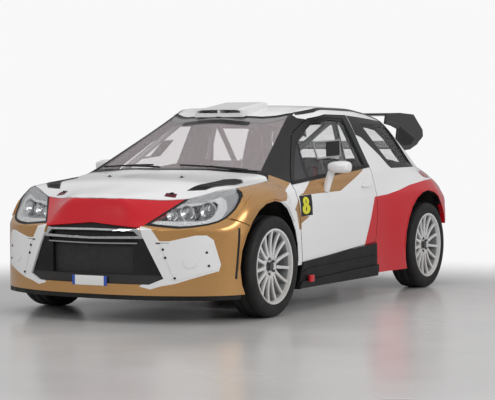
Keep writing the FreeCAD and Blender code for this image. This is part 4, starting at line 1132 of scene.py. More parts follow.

# --- Lamp panels ------------------------------------------------------------------
# A white blanking panel closes each fog lamp opening, held by five black quick-release
# studs. It has a round boss pressed in it and a narrow air slit above, which is a satin
# black plate: painted shade.

LAMP_PANEL = [
    (480, 500), (533, 500), (682, 536), (734, 536), (757, 513), (789, 369), (781, 336),
    (568, 268),
]
AIR_SLIT = [(455, 504), (533, 502), (534, 494), (455, 496)]
PANEL_STUDS = [(511, 412), (737, 444), (747, 362), (566, 286), (498, 462)]
BOSS_CENTRE, BOSS_RADIUS = (651, 382), 34
CIRCLE_STEPS = 24
STUD_SINK = 0.001  # a stud stands this deep in its surface
SIDE_SLIT = [(-1616, 588), (-1601, 588), (-1630, 276), (-1645, 276)]
LEFT_NOSE = ((150, -2000, 176), (1000, -1500, 640))


def on_skin(view, across, along):
    """The point of the skin, and its outward direction, seen straight on at a point."""
    start, aim = Vector((0, 0, 0)), Vector((0, 0, 0))
    first, second = VIEWS[view]
    start[first], start[second] = across * MM, along * MM
    towards = {"side": (0, 1), "plan": (2, 1), "front": (1, -1)}[view]
    start[towards[0]] = 3 * towards[1]
    aim[towards[0]] = -towards[1]
    _, place, normal, _ = body_form.ray_cast(start, aim)
    return place, normal


def stud(bm, place, normal, radius, height):
    """A small round fastener with a rounded edge, stood on a surface."""
    turn = normal.to_track_quat("Z", "Y").to_matrix().to_4x4()
    made = bmesh.ops.create_cone(
        bm, cap_ends=True, segments=20, radius1=radius, radius2=radius, depth=height + STUD_SINK,
        matrix=Matrix.Translation(place + normal * (height - STUD_SINK) / 2) @ turn,
    )
    top = [
        edge for vertex in made["verts"] for edge in vertex.link_edges
        if all((end.co - place).dot(normal) > height * 0.6 for end in edge.verts)
    ]
    bmesh.ops.bevel(
        bm, geom=list(set(top)), offset=min(radius, height) * 0.35, affect="EDGES", segments=2,
        profile=0.5, material=-1,
    )


def circle(centre, radius):
    turns = [math.tau * step / CIRCLE_STEPS for step in range(CIRCLE_STEPS)]
    return [(centre[0] + radius * math.cos(turn), centre[1] + radius * math.sin(turn))
            for turn in turns]


def skin_plate(name, box, outlines, out, wall, materials, body="chassis", holes=(),
               fields=(), side="both"):
    """A thin plate that follows the skin, a little proud of it."""
    bm = skin_patch(box, outlines, holes)
    for field in fields:
        painted(bm, *field)
    moved_in(bm, -out)
    if side == "right":
        to_right(bm)
    plate = walled(bm, name, materials, wall)
    if side == "both":
        return paired(plate, name, body, materials)
    return mounted(plate, body)


def studs(name, view, spots, sizes, body, materials):
    """Round fasteners on both sides of the car, each of one or more steps."""
    bm = bmesh.new()
    for across, along in spots:
        place, normal = on_skin(view, across, along)
        for proud, radius, height in sizes:
            stud(bm, place + normal * proud, normal, radius, height)
    twinned(bm)
    fitted(bm, name, body, materials, 50)


for name, outline, out, wall, skin in (
    ("fog_lamp_panels", LAMP_PANEL, 3, 6, white_paint),
    ("fog_lamp_bosses", circle(BOSS_CENTRE, BOSS_RADIUS), 7, 6, white_paint),
    # painted shade: each air slit is a satin black plate on the skin
    ("nose_air_slit_shades", AIR_SLIT, 1.5, 4, satin_black),
):
    skin_plate(name, LEFT_NOSE, [("front", outline)], out, wall, [skin])
studs("fog_panel_studs", "front", PANEL_STUDS, [(0.003, 0.0075, 0.004)], "chassis",
      [moulded_black])
# The side slits are satin black plates on the skin: painted shade.
skin_plate("nose_side_slit_shades", LEFT_BOX, [("side", SIDE_SLIT)], 0.8, 4, [satin_black])

# --- Bonnet fittings --------------------------------------------------------------
# Two leaf-shaped outlets let hot air out of the bonnet through black louvres. Four
# sprung pins hold it shut, and the two wipers lie at the foot of the screen.

OUTLET = [
    (488, -1600), (556, -1480), (566, -1390), (566, -1281), (613, -1213), (664, -1208),
    (714, -1290), (718, -1392), (678, -1490), (606, -1570),
]
PIN_PLATE = [(383, -1700), (452, -1682), (445, -1648), (377, -1666)]
BONNET_PINS = [(412, -1659), (280, -1325)]
LOUVRE = [(480, -1560), (720, -1534), (720, -1516), (480, -1542)]  # the foremost one
LOUVRES, LOUVRE_STEP = 5, 72

pin_red = metal("anodised_red", (0.16, 0.010, 0.025), 0.3, metallic=0.6)
pin_black = metal("anodised_black", (0.05, 0.05, 0.052), 0.3)
skin_plate("bonnet_outlet_frames", UPPER_BOX, [("plan", OUTLET)], 2.0, 6, [satin_black],
           "bonnet_lid", [("plan", grown(OUTLET, -12))])
# A flat black plate fills each outlet under its louvres: painted shade in the opening.
skin_plate("bonnet_outlet_shade_plates", UPPER_BOX, [("plan", grown(OUTLET, -10))], 0.6, 4,
           [moulded_black], "bonnet_lid")
for number in range(LOUVRES):
    louvre = [(x, y + number * LOUVRE_STEP) for x, y in LOUVRE]
    skin_plate(f"bonnet_louvre_{number + 1}", UPPER_BOX,
               [("plan", grown(OUTLET, -14)), ("plan", louvre)], 2.5, 4, [moulded_black],
               "bonnet_lid")
skin_plate("bonnet_pin_plates", UPPER_BOX, [("plan", PIN_PLATE)], 2.0, 3, [pin_red],
           "bonnet_lid")
studs("bonnet_pins", "plan", BONNET_PINS, [(0, 0.017, 0.002), (0, 0.006, 0.010)], "bonnet_lid",
      [pin_black])


def bent_rod(name, points, radius, body, materials, order=3):
    """A drawn rod or tube that follows its points, in metres."""
    line = bpy.data.curves.new(name, "CURVE")
    line.dimensions = "3D"
    line.bevel_depth = radius
    line.bevel_resolution = 3
    line.use_fill_caps = True
    spline = line.splines.new("NURBS")
    spline.points.add(len(points) - 1)
    for point, place in zip(spline.points, points):
        point.co = (*place, 1)
    spline.use_endpoint_u = True
    spline.order_u = order
    spline.resolution_u = 6
    shape = bpy.data.objects.new(name, line)
    scene.collection.objects.link(shape)
    graph = bpy.context.evaluated_depsgraph_get()
    mesh = bpy.data.meshes.new_from_object(shape.evaluated_get(graph))
    bpy.data.objects.remove(shape)
    bm = bmesh.new()
    bm.from_mesh(mesh)
    bmesh.ops.remove_doubles(bm, verts=bm.verts, dist=1e-5)
    outward(bm)
    return fitted(bm, name, body, materials, 50)


rubber_black = grained(
    "black_rubber", (0.010, 0.010, 0.010), (0.020, 0.019, 0.018), (14, 5.0), (500, 3.0),
    (0.55, 0.75), (0.15, 0.0006), 0.3,
)
WIPERS = {
    "left": ([(640, -965), (520, -1000), (300, -992)],
             [(560, -955), (300, -975), (60, -985)]),
    "right": ([(-60, -1050), (-200, -1010), (-380, -975)],
              [(-160, -975), (-380, -955), (-600, -915)]),
}
for side, (arm, blade) in WIPERS.items():
    for name, spots, out, radius, skin in (
        ("arm", arm, 0.012, 0.006, satin_black), ("blade", blade, 0.007, 0.0055, rubber_black),
    ):
        seats = [on_skin("plan", x, y) for x, y in spots]
        points = [place + normal * out for place, normal in seats]
        bent_rod(f"wiper_{name}_{side}", points, radius, "chassis", [skin])

for side, sign in zip(SIDES, (1, -1)):
    points = [(sign * x, y, z) for x, y, z in LAMP_BAR]
    bent_rod(f"headlamp_divider_{side}", points, 0.005, "chassis", [satin_black], order=2)

# --- Seals and drip rails ---------------------------------------------------------
# A black rubber seal runs round each headlamp, and a black rail along each edge of the
# roof leads the rain off it.

SEAL_BOX = ((150, -2000, 560), (1000, -1494, 900))
DRIP_RAIL = [
    (471, -150), (537, 2), (548, 500), (532, 1196), (556, 1196), (575, 500), (564, -6),
    (500, -162),
]
skin_plate(
    "headlamp_seals", SEAL_BOX, [("front", grown(HEADLAMP, 6))], 1.0, 4, [rubber_black],
    holes=[("front", grown(HEADLAMP, -6)), bonnet_hole],
)
skin_plate("roof_drip_rails", UPPER_BOX, [("plan", DRIP_RAIL)], 3, 6, [satin_black])

# --- Wheel arch lips --------------------------------------------------------------
# The edge of each wheel arch is rolled over into a narrow lip, painted with its panel.

ARCH_LIP = 11
LIP_BOX = ((150, -2000, 330), (1000, 2000, 900))
LIP_END = [(1500, 100), (1700, 100), (1700, 476), (1500, 476)]
for end, axle_y, paint, field in (
    ("front", ARCH_CENTRES[0], GOLD, FENDER_GOLD), ("rear", ARCH_CENTRES[1], RED, REAR_RED),
):
    skin_plate(
        f"{end}_arch_lips", LIP_BOX, [("side", arch(axle_y, ARCH_LIP))], 2.5, 9, body_paints,
        holes=[("side", arch(axle_y, 1)), ("side", LIP_END)], fields=[("side", field, paint)],
    )

# --- Front flares -----------------------------------------------------------------
# A composite flare widens each front fender over the wheel. It is bonded on, a little
# proud of the steel behind the headlamp, and painted with it.

FLARE = [
    (-1650, 600), (-1640, 648), (-1607, 657), (-1582, 684), (-1503, 748), (-1420, 784),
    (-1327, 808), (-1210, 824), (-1099, 826), (-1000, 810), (-935, 772), (-895, 700),
    (-880, 600), (-1209, 420), (-1512, 605),
]
skin_plate(
    "front_fender_flares", LEFT_BOX, [("side", FLARE), ("side", grown(FENDER, -HALF_GAP))],
    9, 10, body_paints,
    holes=[("side", arch(ARCH_CENTRES[0], ARCH_LIP)), scuttle_hole, bonnet_hole],
    fields=[("side", FENDER_GOLD, GOLD)],
)

# --- Window fittings --------------------------------------------------------------
# A black sun strip is printed across the top of the screen. Each door window has a fixed
# quarter light behind a black divider, and a rubber strip runs along the belt.

SUN_STRIP = both_sides([
    (0, -452), (262, -436), (272, -425), (268, -396), (258, -388), (0, -402),
])
SHADE_BAND = both_sides([
    (0, -354), (300, -293), (470, -160), (486, -215), (372, -366), (150, -418), (0, -434),
])
DIVIDER = [(-380, 1130), (-350, 1142), (-540, 874), (-572, 872)]
QUARTER_LIGHT = [(-765, 846), (-400, 1104), (-388, 1112), (-560, 866)]
BELT_STRIP = [(-806, 834), (420, 930), (420, 952), (-790, 856)]
SLIDING_PANE = [(-185, 1118), (145, 1132), (40, 1012), (-262, 996)]
SLIDING_HATCH = [(-30, 1120), (134, 1126), (36, 1018), (-124, 1010)]
DOOR_HANDLE = [
    (196, 800), (206, 789), (300, 790), (372, 800), (386, 812), (380, 824), (360, 830),
    (220, 818),
]

# An opaque, nearly black glossy sheet lies over each quarter light: painted shade in the window
# opening.
quarter_shade_sheet = car_paint(
    "quarter_light_painted_shade", (0.010, 0.009, 0.014), gloss=0.05, flake=0, coat=0.0, shine=0.5,
)
band_grey = car_paint("screen_band_print", (0.15, 0.17, 0.165), gloss=0.4, flake=0, coat=0.0)


def rounded(piece, width, limit=30):
    """Rounds a piece's edges where they turn by more than a limit."""
    rounding = piece.modifiers.new("rounding", "BEVEL")
    rounding.width = width
    rounding.segments = 3
    rounding.angle_limit = math.radians(limit)
    bake(piece)


skin_plate("screen_shade_band", UPPER_BOX, [("plan", SHADE_BAND)], -4.8, 1,
           [band_grey], side="middle")
skin_plate("screen_sun_strip", UPPER_BOX, [("plan", SUN_STRIP)], -3.2, 1.2,
           [satin_black], side="middle")
for side in SIDES:
    for name, outline, holes, out, skin in (
        ("window_divider", DIVIDER, [], 1.5, satin_black),
        # painted shade over the quarter light
        ("quarter_light_shade", QUARTER_LIGHT, [], 0.6, quarter_shade_sheet),
        ("belt_strip", BELT_STRIP, [], 4, rubber_black),
        ("sliding_pane_frame", SLIDING_PANE, [("side", grown(SLIDING_PANE, -9))], 0.5,
         bezel_grey),
        ("sliding_pane_hatch", SLIDING_HATCH, [], -0.5, moulded_black),
    ):
        skin_plate(f"{name}_{side}", LEFT_BOX, [("side", outline), ("side", door_outline)], out,
                   9, [skin], f"{side}_door", holes, side=side)
    grip = skin_plate(f"door_handle_{side}", LEFT_BOX, [("side", DOOR_HANDLE)], 16, 15,
                      [white_paint], f"{side}_door", side=side)
    rounded(grip, 0.004)
    shaded(grip, 50)

# --- Side skirts and tail lamps ---------------------------------------------------
# A black moulded skirt runs along each sill, with a ledge below a softly rounded face and
# a red jacking socket near its front. Each tail lamp is a red moulded lens.

SKIRT_FACE = [(-822, 164), (-745, 322), (395, 386), (416, 168)]
SKIRT_LEDGE = [(-815, 164), (-800, 196), (412, 232), (414, 168)]
SKIRT_RIDGE = [(-760, 258), (-700, 276), (360, 300), (392, 284)]
JACK_SOCKET = ((0.875, -0.700, 0.186), (0.897, -0.640, 0.232))
SKIRT_BOX = ((150, -1000, 150), (1000, 600, 420))
TAIL_LAMP_BOX = ((150, 1600, 560), (1000, 2000, 900))
TAIL_SHOULDER = [
    (1300, 868), (1330, 886), (1560, 884), (1600, 852), (1560, 838), (1380, 834), (1310, 846),
]

skirts = bmesh.new()
for outline, out, wall in ((SKIRT_FACE, 12, 16), (SKIRT_RIDGE, 20, 14), (SKIRT_LEDGE, 26, 24)):
    bm = skin_patch(SKIRT_BOX, [("side", outline)])
    moved_in(bm, -out)
    part = walled(bm, "skirt_part", [moulded_black], wall)
    rounded(part, 0.006, 50)
    added(skirts, opened(part))
twinned(skirts)
fitted(skirts, "side_skirt_mouldings", "chassis", [moulded_black], 50, "side_skirts")
socket = block(*JACK_SOCKET, 0.006)
twinned(socket)
fitted(socket, "jacking_sockets", "chassis", [red_paint])

tail_plastic = clear_sheet(
    "tail_lamp_plastic", (0.42, 0.008, 0.012), 0.03, 0.35, film=0.03, hold=1.0,
)
tail = skin_plate("tail_lamp_lenses", TAIL_LAMP_BOX, [("front", grown(TAIL_LAMP, -2))], -0.5,
                  30, [tail_plastic])
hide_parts("tail_lamps")
skin_plate("tail_lamp_shoulders", LEFT_BOX, [("side", TAIL_SHOULDER)], 1.5, 6, [tail_plastic])

# --- Number panels ----------------------------------------------------------------
# A black vinyl square on each door carries a plain yellow numeral.

NUMERAL_YELLOW = (0.72, 0.68, 0.02)
NUMERAL_CENTRE = (-0.680, 0.694)
NUMERAL_LOBES = ((0.028, 0.044, 0.030), (-0.023, 0.050, 0.034))
LOBE_UNIT = 0.030  # a lobe's outline is stretched sideways by its width over this
HOLE_WIDE, HOLE_HIGH = 0.50, 0.46  # a lobe's hole, as shares
vinyl_yellow = car_paint("yellow_vinyl", NUMERAL_YELLOW, gloss=0.3, flake=0, coat=0.1)
for side in SIDES:
    bm = bmesh.new()
    y, z = NUMERAL_CENTRE
    for rise, wide, high in NUMERAL_LOBES:
        lobe_centre = (0, rise / MM)
        outer = [(y / MM + across * wide / LOBE_UNIT, z / MM + along)
                 for across, along in circle(lobe_centre, high / MM)]
        hole = [(y / MM + across * HOLE_WIDE, z / MM + along)
                for across, along in circle(lobe_centre, high * HOLE_HIGH / MM)]
        lobe = skin_patch(LEFT_BOX, [("side", outer)], [("side", hole)])
        moved_in(lobe, -0.8)
        added(bm, opened(walled(lobe, "lobe", [vinyl_yellow], 0.6)))
    if side == "right":
        for vertex in bm.verts:
            vertex.co.y = 2 * y - vertex.co.y
        bmesh.ops.reverse_faces(bm, faces=bm.faces)
        to_right(bm)
    fitted(bm, f"door_numeral_{side}", f"{side}_door", [vinyl_yellow])

# --- Mirrors ----------------------------------------------------------------------
# Each mirror is a small aerodynamic pod on a curved arm, moulded in one and painted white,
# with the glass let into its rear face. The arm is screwed to the door below the window.

POD_CENTRE = Vector((0.948, -0.372, 0.945))
POD_SIZE = (0.150, 0.100, 0.086)
ARM_POINTS = [
    (0.838, -0.362, 0.782), (0.852, -0.364, 0.826), (0.872, -0.368, 0.880),
    (0.892, -0.370, 0.930), (0.950, -0.372, 0.948),
]
ARM_RADIUS = 0.025
ARM_FLATTENING = 1.25  # the arm is this much longer along the car than it is thick
GLASS_RIM, GLASS_STEP, GLASS_SINK = 0.006, 0.002, 0.008
mirror_glass = metal("mirror_glass", (0.75, 0.77, 0.78), 0.02, scratch=0.02)


def cage(cuts):
    """A cube cut into a grid, to be drawn out to a soft shape."""
    bm = bmesh.new()
    bmesh.ops.create_cube(bm, size=1)
    bmesh.ops.subdivide_edges(bm, edges=bm.edges[:], cuts=cuts, use_grid_fill=True)
    return bm


def subdivided(piece):
    """Smooths a piece from its cage."""
    skin = piece.modifiers.new("skin", "SUBSURF")
    skin.levels = skin.render_levels = 2
    bake(piece)


for side in SIDES:
    bm = cage(3)
    for vertex in bm.verts:
        across, along, up_down = (value * 2 for value in vertex.co)
        round_off = 1 - 0.16 * (across ** 2) - 0.10 * (up_down ** 2)
        vertex.co.y *= round_off * (1.0 if along > 0 else 1.08)
        vertex.co.z *= 1 - 0.20 * across ** 2 - (0.16 if along < 0 else 0.0)
        vertex.co.x *= 1 - 0.10 * up_down ** 2
    shaped(bm, POD_SIZE, place=POD_CENTRE)
    glass_face = [face for face in bm.faces if face.normal.y > 0.9]
    bmesh.ops.inset_region(bm, faces=glass_face, thickness=GLASS_RIM, depth=0.0)
    bmesh.ops.inset_region(bm, faces=glass_face, thickness=GLASS_STEP, depth=-GLASS_SINK)
    filled(glass_face, 1)
    for edge in bm.edges:
        edge.smooth = True
    pod = object_from(bm, f"mirror_pod_{side}", [white_paint, mirror_glass])
    subdivided(pod)
    pod = opened(pod)
    arm = bent_rod(f"mirror_arm_{side}", ARM_POINTS, ARM_RADIUS, f"{side}_door", [white_paint])
    for vertex in arm.data.vertices:
        vertex.co.y = POD_CENTRE.y + (vertex.co.y - POD_CENTRE.y) * ARM_FLATTENING
    if side == "right":
        to_right(pod)
        right_arm = bmesh.new()
        right_arm.from_mesh(arm.data)
        to_right(right_arm)
        right_arm.to_mesh(arm.data)
        right_arm.free()
    fitted(pod, f"mirror_pod_{side}", f"{side}_door", [white_paint, mirror_glass], 60,
           f"mirror_{side}")

# --- Wheels -----------------------------------------------------------------------
# Each wheel is a cast fifteen-spoke rim in white paint on five nuts, with a black centre
# cap. The slick tyre is black rubber, and behind the spokes sits a steel brake disc.

WHEEL_X = 0.809
WHEEL_HEIGHT = 0.325
AXLES = {"front": -1.209, "rear": 1.252}
STEPS = 96
TYRE_PROFILE = both_sides([  # along the axle, out from the axle
    (-0.080, 0.2435), (-0.094, 0.246), (-0.0985, 0.262), (-0.0995, 0.282), (-0.097, 0.300),
    (-0.091, 0.313), (-0.080, 0.3215), (-0.064, 0.3244), (-0.036, 0.3249), (-0.033, 0.3205),
    (-0.027, 0.3205), (-0.024, 0.3249),
]) + [(0.060, 0.236), (-0.060, 0.236)]
RIM_PROFILE = [
    (0.092, 0.243), (0.096, 0.241), (0.097, 0.236), (0.094, 0.2305), (0.084, 0.226),
    (0.070, 0.222), (0.060, 0.220), (0.040, 0.216), (-0.060, 0.212), (-0.086, 0.222),
    (-0.094, 0.236), (-0.094, 0.243), (-0.086, 0.243), (-0.080, 0.229), (-0.056, 0.219),
    (0.040, 0.223), (0.064, 0.229), (0.082, 0.235), (0.086, 0.242),
]
HUB_PROFILE = [
    (0.000, 0.026), (0.040, 0.026), (0.044, 0.030), (0.044, 0.042), (0.054, 0.048),
    (0.062, 0.060), (0.062, 0.072), (0.056, 0.080), (0.030, 0.084), (0.000, 0.084),
]
DISC_PROFILE = [
    (-0.046, 0.090), (-0.046, 0.165), (-0.041, 0.168), (-0.025, 0.168), (-0.020, 0.165),
    (-0.020, 0.090),
]
CAP_PROFILE = [(0.030, 0.0), (0.034, 0.018), (0.030, 0.028), (0.022, 0.029), (0.018, 0.0)]
SPOKES = 15
NUTS = 5
NUT_PLACE = (0.056, 0, 0.052)
NUT_FOOT, NUT_TOP, NUT_HEIGHT = 0.0105, 0.0095, 0.020
BARREL_X = 0.066  # the rim's barrel lies inside this, along the axle
SPOKE_FOOT, SPOKE_LENGTH = 0.072, 0.156
SPOKE_THICK, SPOKE_WIDE = 0.022, 0.0195
SPOKE_CENTRE = (0.056, 0, 0.150)
CALIPER = ((-0.075, 0.085, -0.060), (0.012, 0.176, 0.075))


def turned(profile, steps=STEPS, closed=True):
    """A part turned about the wheel's own axis from its profile."""
    bm = spun([(along, 0, out) for along, out in profile], (1, 0, 0), steps, closed)
    bmesh.ops.remove_doubles(bm, verts=bm.verts, dist=1e-5)
    outward(bm)
    return bm


def spoke():
    """One spoke, from the hub out to the rim, softly rounded and set back at its middle."""
    bm = bmesh.new()
    bmesh.ops.create_cube(bm, size=1)
    shaped(bm, (SPOKE_THICK, SPOKE_WIDE, SPOKE_LENGTH), place=SPOKE_CENTRE)
    upright = [edge for edge in bm.edges if abs((edge.verts[0].co - edge.verts[1].co).z) > 0.1]
    bmesh.ops.subdivide_edges(bm, edges=upright, cuts=5, use_grid_fill=True)
    for vertex in bm.verts:
        share = (vertex.co.z - SPOKE_FOOT) / SPOKE_LENGTH
        vertex.co.y *= 1.25 - 0.75 * share + 0.62 * share ** 2
        vertex.co.x += 0.012 * share ** 2 - 0.004 * math.sin(math.pi * share)
    sides = [
        edge for edge in bm.edges
        if abs(edge.verts[0].co.z - edge.verts[1].co.z) > 0.01 and edge.is_manifold
        and edge.calc_face_angle(0) > 1
    ]
    bmesh.ops.bevel(
        bm, geom=sides, offset=0.0045, affect="EDGES", segments=2, profile=0.5, material=-1,
    )
    return bm


def kept_mesh(bm, name):
    mesh = bpy.data.meshes.new(name)
    bm.to_mesh(mesh)
    bm.free()
    return mesh


rim_paint = car_paint(
    "rim_white_paint", (0.74, 0.745, 0.75), gloss=0.22, flake=0, film=0.9, coat=0.3,
)
disc_steel = metal("turned_disc_steel", (0.30, 0.30, 0.31), 0.28, scale=90)
# The rim's inner barrel, behind the spokes, is painted a darker grey than the rim: painted shade.
barrel_shade_grey = car_paint("barrel_painted_shade", (0.24, 0.245, 0.25), gloss=0.4, flake=0, coat=0.0)
nut_steel = metal("plated_nut_steel", (0.16, 0.16, 0.17), 0.3)

rim = bmesh.new()
added(rim, turned(RIM_PROFILE))
# Painted shade: the barrel's faces inside BARREL_X take the darker grey.
for face in rim.faces:
    if face.calc_center_median().x < BARREL_X:
        face.material_index = 3
added(rim, turned(HUB_PROFILE, 60))
for number in range(SPOKES):
    added(rim, spoke(), 0, Matrix.Rotation(math.tau * number / SPOKES, 4, "X"))
added(rim, turned(CAP_PROFILE, 40, False), 1)
for number in range(NUTS):
    nut = bmesh.new()
    bmesh.ops.create_cone(
        nut, cap_ends=True, segments=6, radius1=NUT_FOOT, radius2=NUT_TOP, depth=NUT_HEIGHT,
        matrix=Matrix.Translation(NUT_PLACE) @ Matrix.Rotation(math.pi / 2, 4, "Y"),
    )
    added(rim, nut, 2, Matrix.Rotation(math.tau * (number + 0.25) / NUTS, 4, "X"))
wheel_parts = (
    ("wheel_rim", kept_mesh(rim, "rim"), [rim_paint, satin_black, nut_steel, barrel_shade_grey], 35,
     "rim", "rim_paint"),
    ("slick_tyre", kept_mesh(turned(TYRE_PROFILE), "tyre"), [rubber_black], 60, "tyre",
     "tyre_rubber"),
    ("brake_disc", kept_mesh(turned(DISC_PROFILE, 72), "disc"), [disc_steel], 35, None, None),
    ("brake_caliper", kept_mesh(block(*CALIPER, 0.012), "caliper"), [nut_steel], 40, None, None),
)
for end, axle_y in AXLES.items():
    for side in SIDES:
        place = Matrix.Translation((WHEEL_X, axle_y, WHEEL_HEIGHT))
        carrier = f"{side}_steering_knuckle" if end == "front" else "chassis"
        for name, mesh, finishes, angle, stand_in, slot in wheel_parts:
            bm = bmesh.new()
            bm.from_mesh(mesh)
            bmesh.ops.transform(bm, matrix=place, verts=bm.verts)
            if side == "right":
                to_right(bm)
            body = carrier if name == "brake_caliper" else f"{end}_{side}_wheel"
            node = stand_in and f"{stand_in}_{end}_{side}"
            fitted(bm, f"{name}_{end}_{side}", body, finishes, angle, node)

# --- Seats ------------------------------------------------------------------------
# Each seat is a one-piece composite bucket bolted to the floor, with a fabric cushion and
# back pad in it and a webbing harness over them.

SEAT_X = 0.335
SEAT_LINE = [  # along the car and height of the bucket's middle, its half width and wings
    (-0.190, 0.345, 0.215, 0.085), (-0.100, 0.335, 0.222, 0.095), (0.020, 0.325, 0.224, 0.100),
    (0.120, 0.330, 0.224, 0.110), (0.185, 0.400, 0.222, 0.140), (0.215, 0.520, 0.222, 0.150),
    (0.245, 0.680, 0.222, 0.150), (0.280, 0.820, 0.210, 0.120), (0.318, 0.930, 0.165, 0.090),
    (0.330, 0.975, 0.140, 0.060),
]
BUCKET = both_sides([  # across the bucket as a share of its half width, its wings' rise
    (-1, 1), (-0.97, 0.6), (-0.88, 0.15), (-0.7, 0), (-0.35, -0.02), (0, -0.03),
])
HARNESS = (  # share of the strap's distance from the middle, y and z
    (0.9, 0.300, 0.930), (1, 0.245, 0.850), (1, 0.180, 0.650), (0.7, 0.110, 0.470),
    (0.3, 0.050, 0.420),
)
STRAP_OUT = 0.075
STRAP_LINE, STRAP_WIDENING = 0.85, 5.0  # a strap is widened about this share of its place
BRACKETS = (("inner", -0.17, -0.15), ("outer", 0.15, 0.17))
BRACKET_FRONT, BRACKET_REAR = -0.150, 0.180
BRACKET_FOOT, BRACKET_TOP = 0.196, 0.322
PADS = (  # name, y and z of the middle, width, length and thickness, tilt
    ("cushion", -0.040, 0.372, (0.330, 0.290, 0.060), 0.05),
    ("back_pad", 0.218, 0.640, (0.320, 0.400, 0.050), 1.37),
)


def woven_cloth(name, colour, other, scale):
    """Woven cloth with its threads, slubs and a little fading."""
    material, tree, surface = shader(name)
    place = own_place(tree)
    threads = [
        shader_node(tree, "TexWave", {"Scale": scale, "Distortion": 0.4, "Vector": place},
                    bands_direction=axis).outputs["Fac"]
        for axis in ("X", "Z")
    ]
    weave = maths(tree, "MAXIMUM", *threads)
    worn = spread(tree, noise(tree, 6.0, 5.0, place), 0.0, 0.5)
    fresh = mixed_colour(tree, maths(tree, "MULTIPLY", weave, 0.6), colour, other)
    feed(tree, surface, {
        "Base Color": mixed_colour(tree, worn, fresh, other),
        "Roughness": spread(tree, weave, 0.75, 0.95), "Sheen Weight": 0.3,
        "Normal": bump(tree, weave, 0.35, 0.0015),
    })
    return material


seat_cloth = woven_cloth("seat_pad_cloth", (0.020, 0.020, 0.022), (0.055, 0.055, 0.058), 150)
webbing = woven_cloth("harness_webbing", (0.40, 0.015, 0.015), (0.22, 0.008, 0.010), 220)
composite = car_paint("seat_shell_lacquer", (0.020, 0.020, 0.021), gloss=0.2, flake=0.3, coat=0.5)


def soft_pad(name, centre, size, tilt, crown):
    """A stitched pad, crowned in its middle and drawn in between its corners."""
    bm = cage(5)
    for vertex in bm.verts:
        across, along, height = (value * 2 for value in vertex.co)
        dome = (1 - across ** 2) * (1 - along ** 2)
        vertex.co.x *= 1 - 0.05 * (1 - along ** 2)
        vertex.co.y *= 1 - 0.05 * (1 - across ** 2)
        if height > 0:
            vertex.co.z += crown * dome - 0.18 * max(abs(across), abs(along)) ** 4
            if abs(across) < 0.05:
                vertex.co.z -= 0.10 * (1 - along ** 4)
        else:
            vertex.co.z += 0.10 * max(abs(across), abs(along)) ** 4
    shaped(bm, size, tilt, "X", centre)
    pad = object_from(bm, name, [seat_cloth])
    subdivided(pad)
    shaded(pad, 80)
    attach(pad, "chassis")


for side, sign in zip(SIDES, (1, -1)):
    bm = bmesh.new()
    loops = []
    neighbours = zip(SEAT_LINE[:1] + SEAT_LINE, SEAT_LINE, SEAT_LINE[1:] + SEAT_LINE[-1:])
    for before, (y, z, half, wing), following in neighbours:
        run = Vector((0, following[0] - before[0], following[1] - before[1])).normalized()
        inward = Vector((0, -run.z, run.y))
        line = []
        for share, rise in BUCKET:
            point = Vector((share * half, y, z)) + inward * wing * rise
            line.append(bm.verts.new(point + Vector((SEAT_X, 0, 0))))
        loops.append([bm.edges.new(pair) for pair in zip(line, line[1:])])
    for near, far in zip(loops, loops[1:]):
        bmesh.ops.bridge_loops(bm, edges=near + far)
    outward(bm)
    if sum(face.normal.z for face in bm.faces) < 0:
        bmesh.ops.reverse_faces(bm, faces=bm.faces)
    if side == "right":
        to_right(bm)
    shell = object_from(bm, f"seat_shell_{side}", [composite])
    skin = shell.modifiers.new("skin", "SUBSURF")
    skin.levels = skin.render_levels = 2
    wall = shell.modifiers.new("wall", "SOLIDIFY")
    wall.thickness = 0.006
    wall.offset = -1
    bake(shell)
    shaded(shell, 50)
    mounted(shell, "chassis", f"seat_{side}")
    middle = sign * SEAT_X
    for name, y, z, size, tilt in PADS:
        soft_pad(f"seat_{name}_{side}", (middle, y, z), size, tilt, 0.25)
    for number, x in enumerate((-STRAP_OUT, STRAP_OUT)):
        points = [(middle + x * share, y, z) for share, y, z in HARNESS]
        strap = bent_rod(f"harness_strap_{side}_{number + 1}", points, 0.0035, "chassis",
                         [webbing])
        for vertex in strap.data.vertices:
            line = middle + x * STRAP_LINE
            vertex.co.x = line + (vertex.co.x - line) * STRAP_WIDENING
    for name, start, end in BRACKETS:
        leg = block((middle + start, BRACKET_FRONT, BRACKET_FOOT),
                    (middle + end, BRACKET_REAR, BRACKET_TOP), 0.003)
        fitted(leg, f"seat_bracket_{name}_{side}", "chassis", [nut_steel])

# --- Structure, running gear and cabin fittings -----------------------------------
# The welded floor and wheel tubs are steel under a rough black sealer. The running gear is
# painted steel, the engine is cast aluminium, and the cage is tube in pale grey paint.

sealer = grained(
    "underbody_sealer", (0.010, 0.010, 0.010), (0.035, 0.031, 0.027), (4, 6.0), (90, 6.0),
    (0.6, 0.9), (0.4, 0.002),
)
running_steel = metal("painted_running_steel", (0.10, 0.10, 0.105), 0.38, 0.6)
cast_aluminium = metal("cast_aluminium", (0.36, 0.36, 0.365), 0.42, scale=140)
heated_steel = metal("heat_stained_steel", (0.30, 0.23, 0.17), 0.26)
cage_paint = car_paint(
    "cage_grey_paint", (0.46, 0.47, 0.48), gloss=0.3, flake=0, film=0.1, coat=0.2,
)
suede = woven_cloth("steering_wheel_suede", (0.012, 0.012, 0.012), (0.028, 0.027, 0.026), 300)
wing_lacquer = car_paint(
    "wing_black_lacquer", (0.010, 0.010, 0.011), gloss=0.2, flake=0.1, coat=0.3, shine=0.3,
)
core_fins = metal("radiator_core_fins", (0.05, 0.05, 0.052), 0.45, 0.7, scale=260)
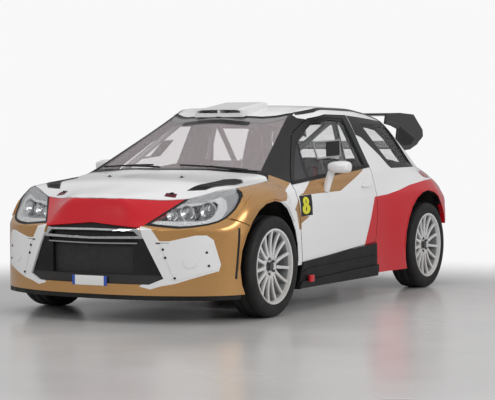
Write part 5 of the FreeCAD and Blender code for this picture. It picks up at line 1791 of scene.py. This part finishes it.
for finish, nodes in (
    (sealer, ("floor_pan", "front_wheel_tubs", "rear_wheel_tubs")),
    (running_steel, (
        "front_subframe", "rear_axle", "front_knuckle_left", "front_knuckle_right",
        "rear_knuckle_left", "rear_knuckle_right",
    )),
    (cast_aluminium, ("engine", "sump_guard")), (heated_steel, ("exhaust",)),
    (cage_paint, ("roll_cage",)), (moulded_black, ("dashboard", "splitter")),
    (suede, ("steering_wheel",)), (white_paint, ("roof_scoop",)),
    (wing_lacquer, ("rear_wing",)), (core_fins, ("radiator",)),
):
    for name in nodes:
        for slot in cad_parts[name].material_slots:
            slot.material = finish

# --- Wing end plates --------------------------------------------------------------
# Each end plate of the wing has a moulded rib arched over a flat matte black plate, painted
# shade for a shallow recess, and a rolled lip along its lower edge. The rib and lip stiffen
# the thin lacquered plate.

WING_SIDE = 0.551
WING_RIBS = {
    "rib": [(1240, 1262), (1363, 1266), (1503, 1238), (1611, 1202), (1719, 1166), (1790, 1138)],
    "lip": [(1930, 1146), (1860, 1112), (1719, 1074), (1612, 1066), (1530, 1076), (1462, 1118)],
}
WING_SHADE_PATCH = [
    (1462, 1130), (1480, 1206), (1503, 1226), (1611, 1190), (1719, 1154), (1780, 1130),
    (1719, 1092), (1612, 1082), (1530, 1090),
]
SHADE_PATCH_WALL = 0.005
for side, sign in zip(SIDES, (1, -1)):
    for name, path in WING_RIBS.items():
        points = [(sign * WING_SIDE, y * MM, z * MM) for y, z in path]
        bent_rod(f"wing_{name}_{side}", points, 0.008, "tailgate_lid", [wing_lacquer])
    # painted shade: a flat matte black plate on the end plate, where the recess would lie
    bm = bmesh.new()
    corners = [bm.verts.new((sign * WING_SIDE, y * MM, z * MM)) for y, z in WING_SHADE_PATCH]
    sheet = bmesh.ops.contextual_create(bm, geom=corners)["faces"]
    raised = bmesh.ops.extrude_face_region(bm, geom=sheet)["geom"]
    bmesh.ops.translate(bm, vec=(sign * SHADE_PATCH_WALL, 0, 0), verts=vertices_of(raised))
    outward(bm)
    fitted(bm, f"wing_shade_patch_{side}", "tailgate_lid", [moulded_black])

# --- Sizes ------------------------------------------------------------------------
# The box of the dressed car, over every shown object but the studio floor.

bpy.data.objects.remove(body_form)
low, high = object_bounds()
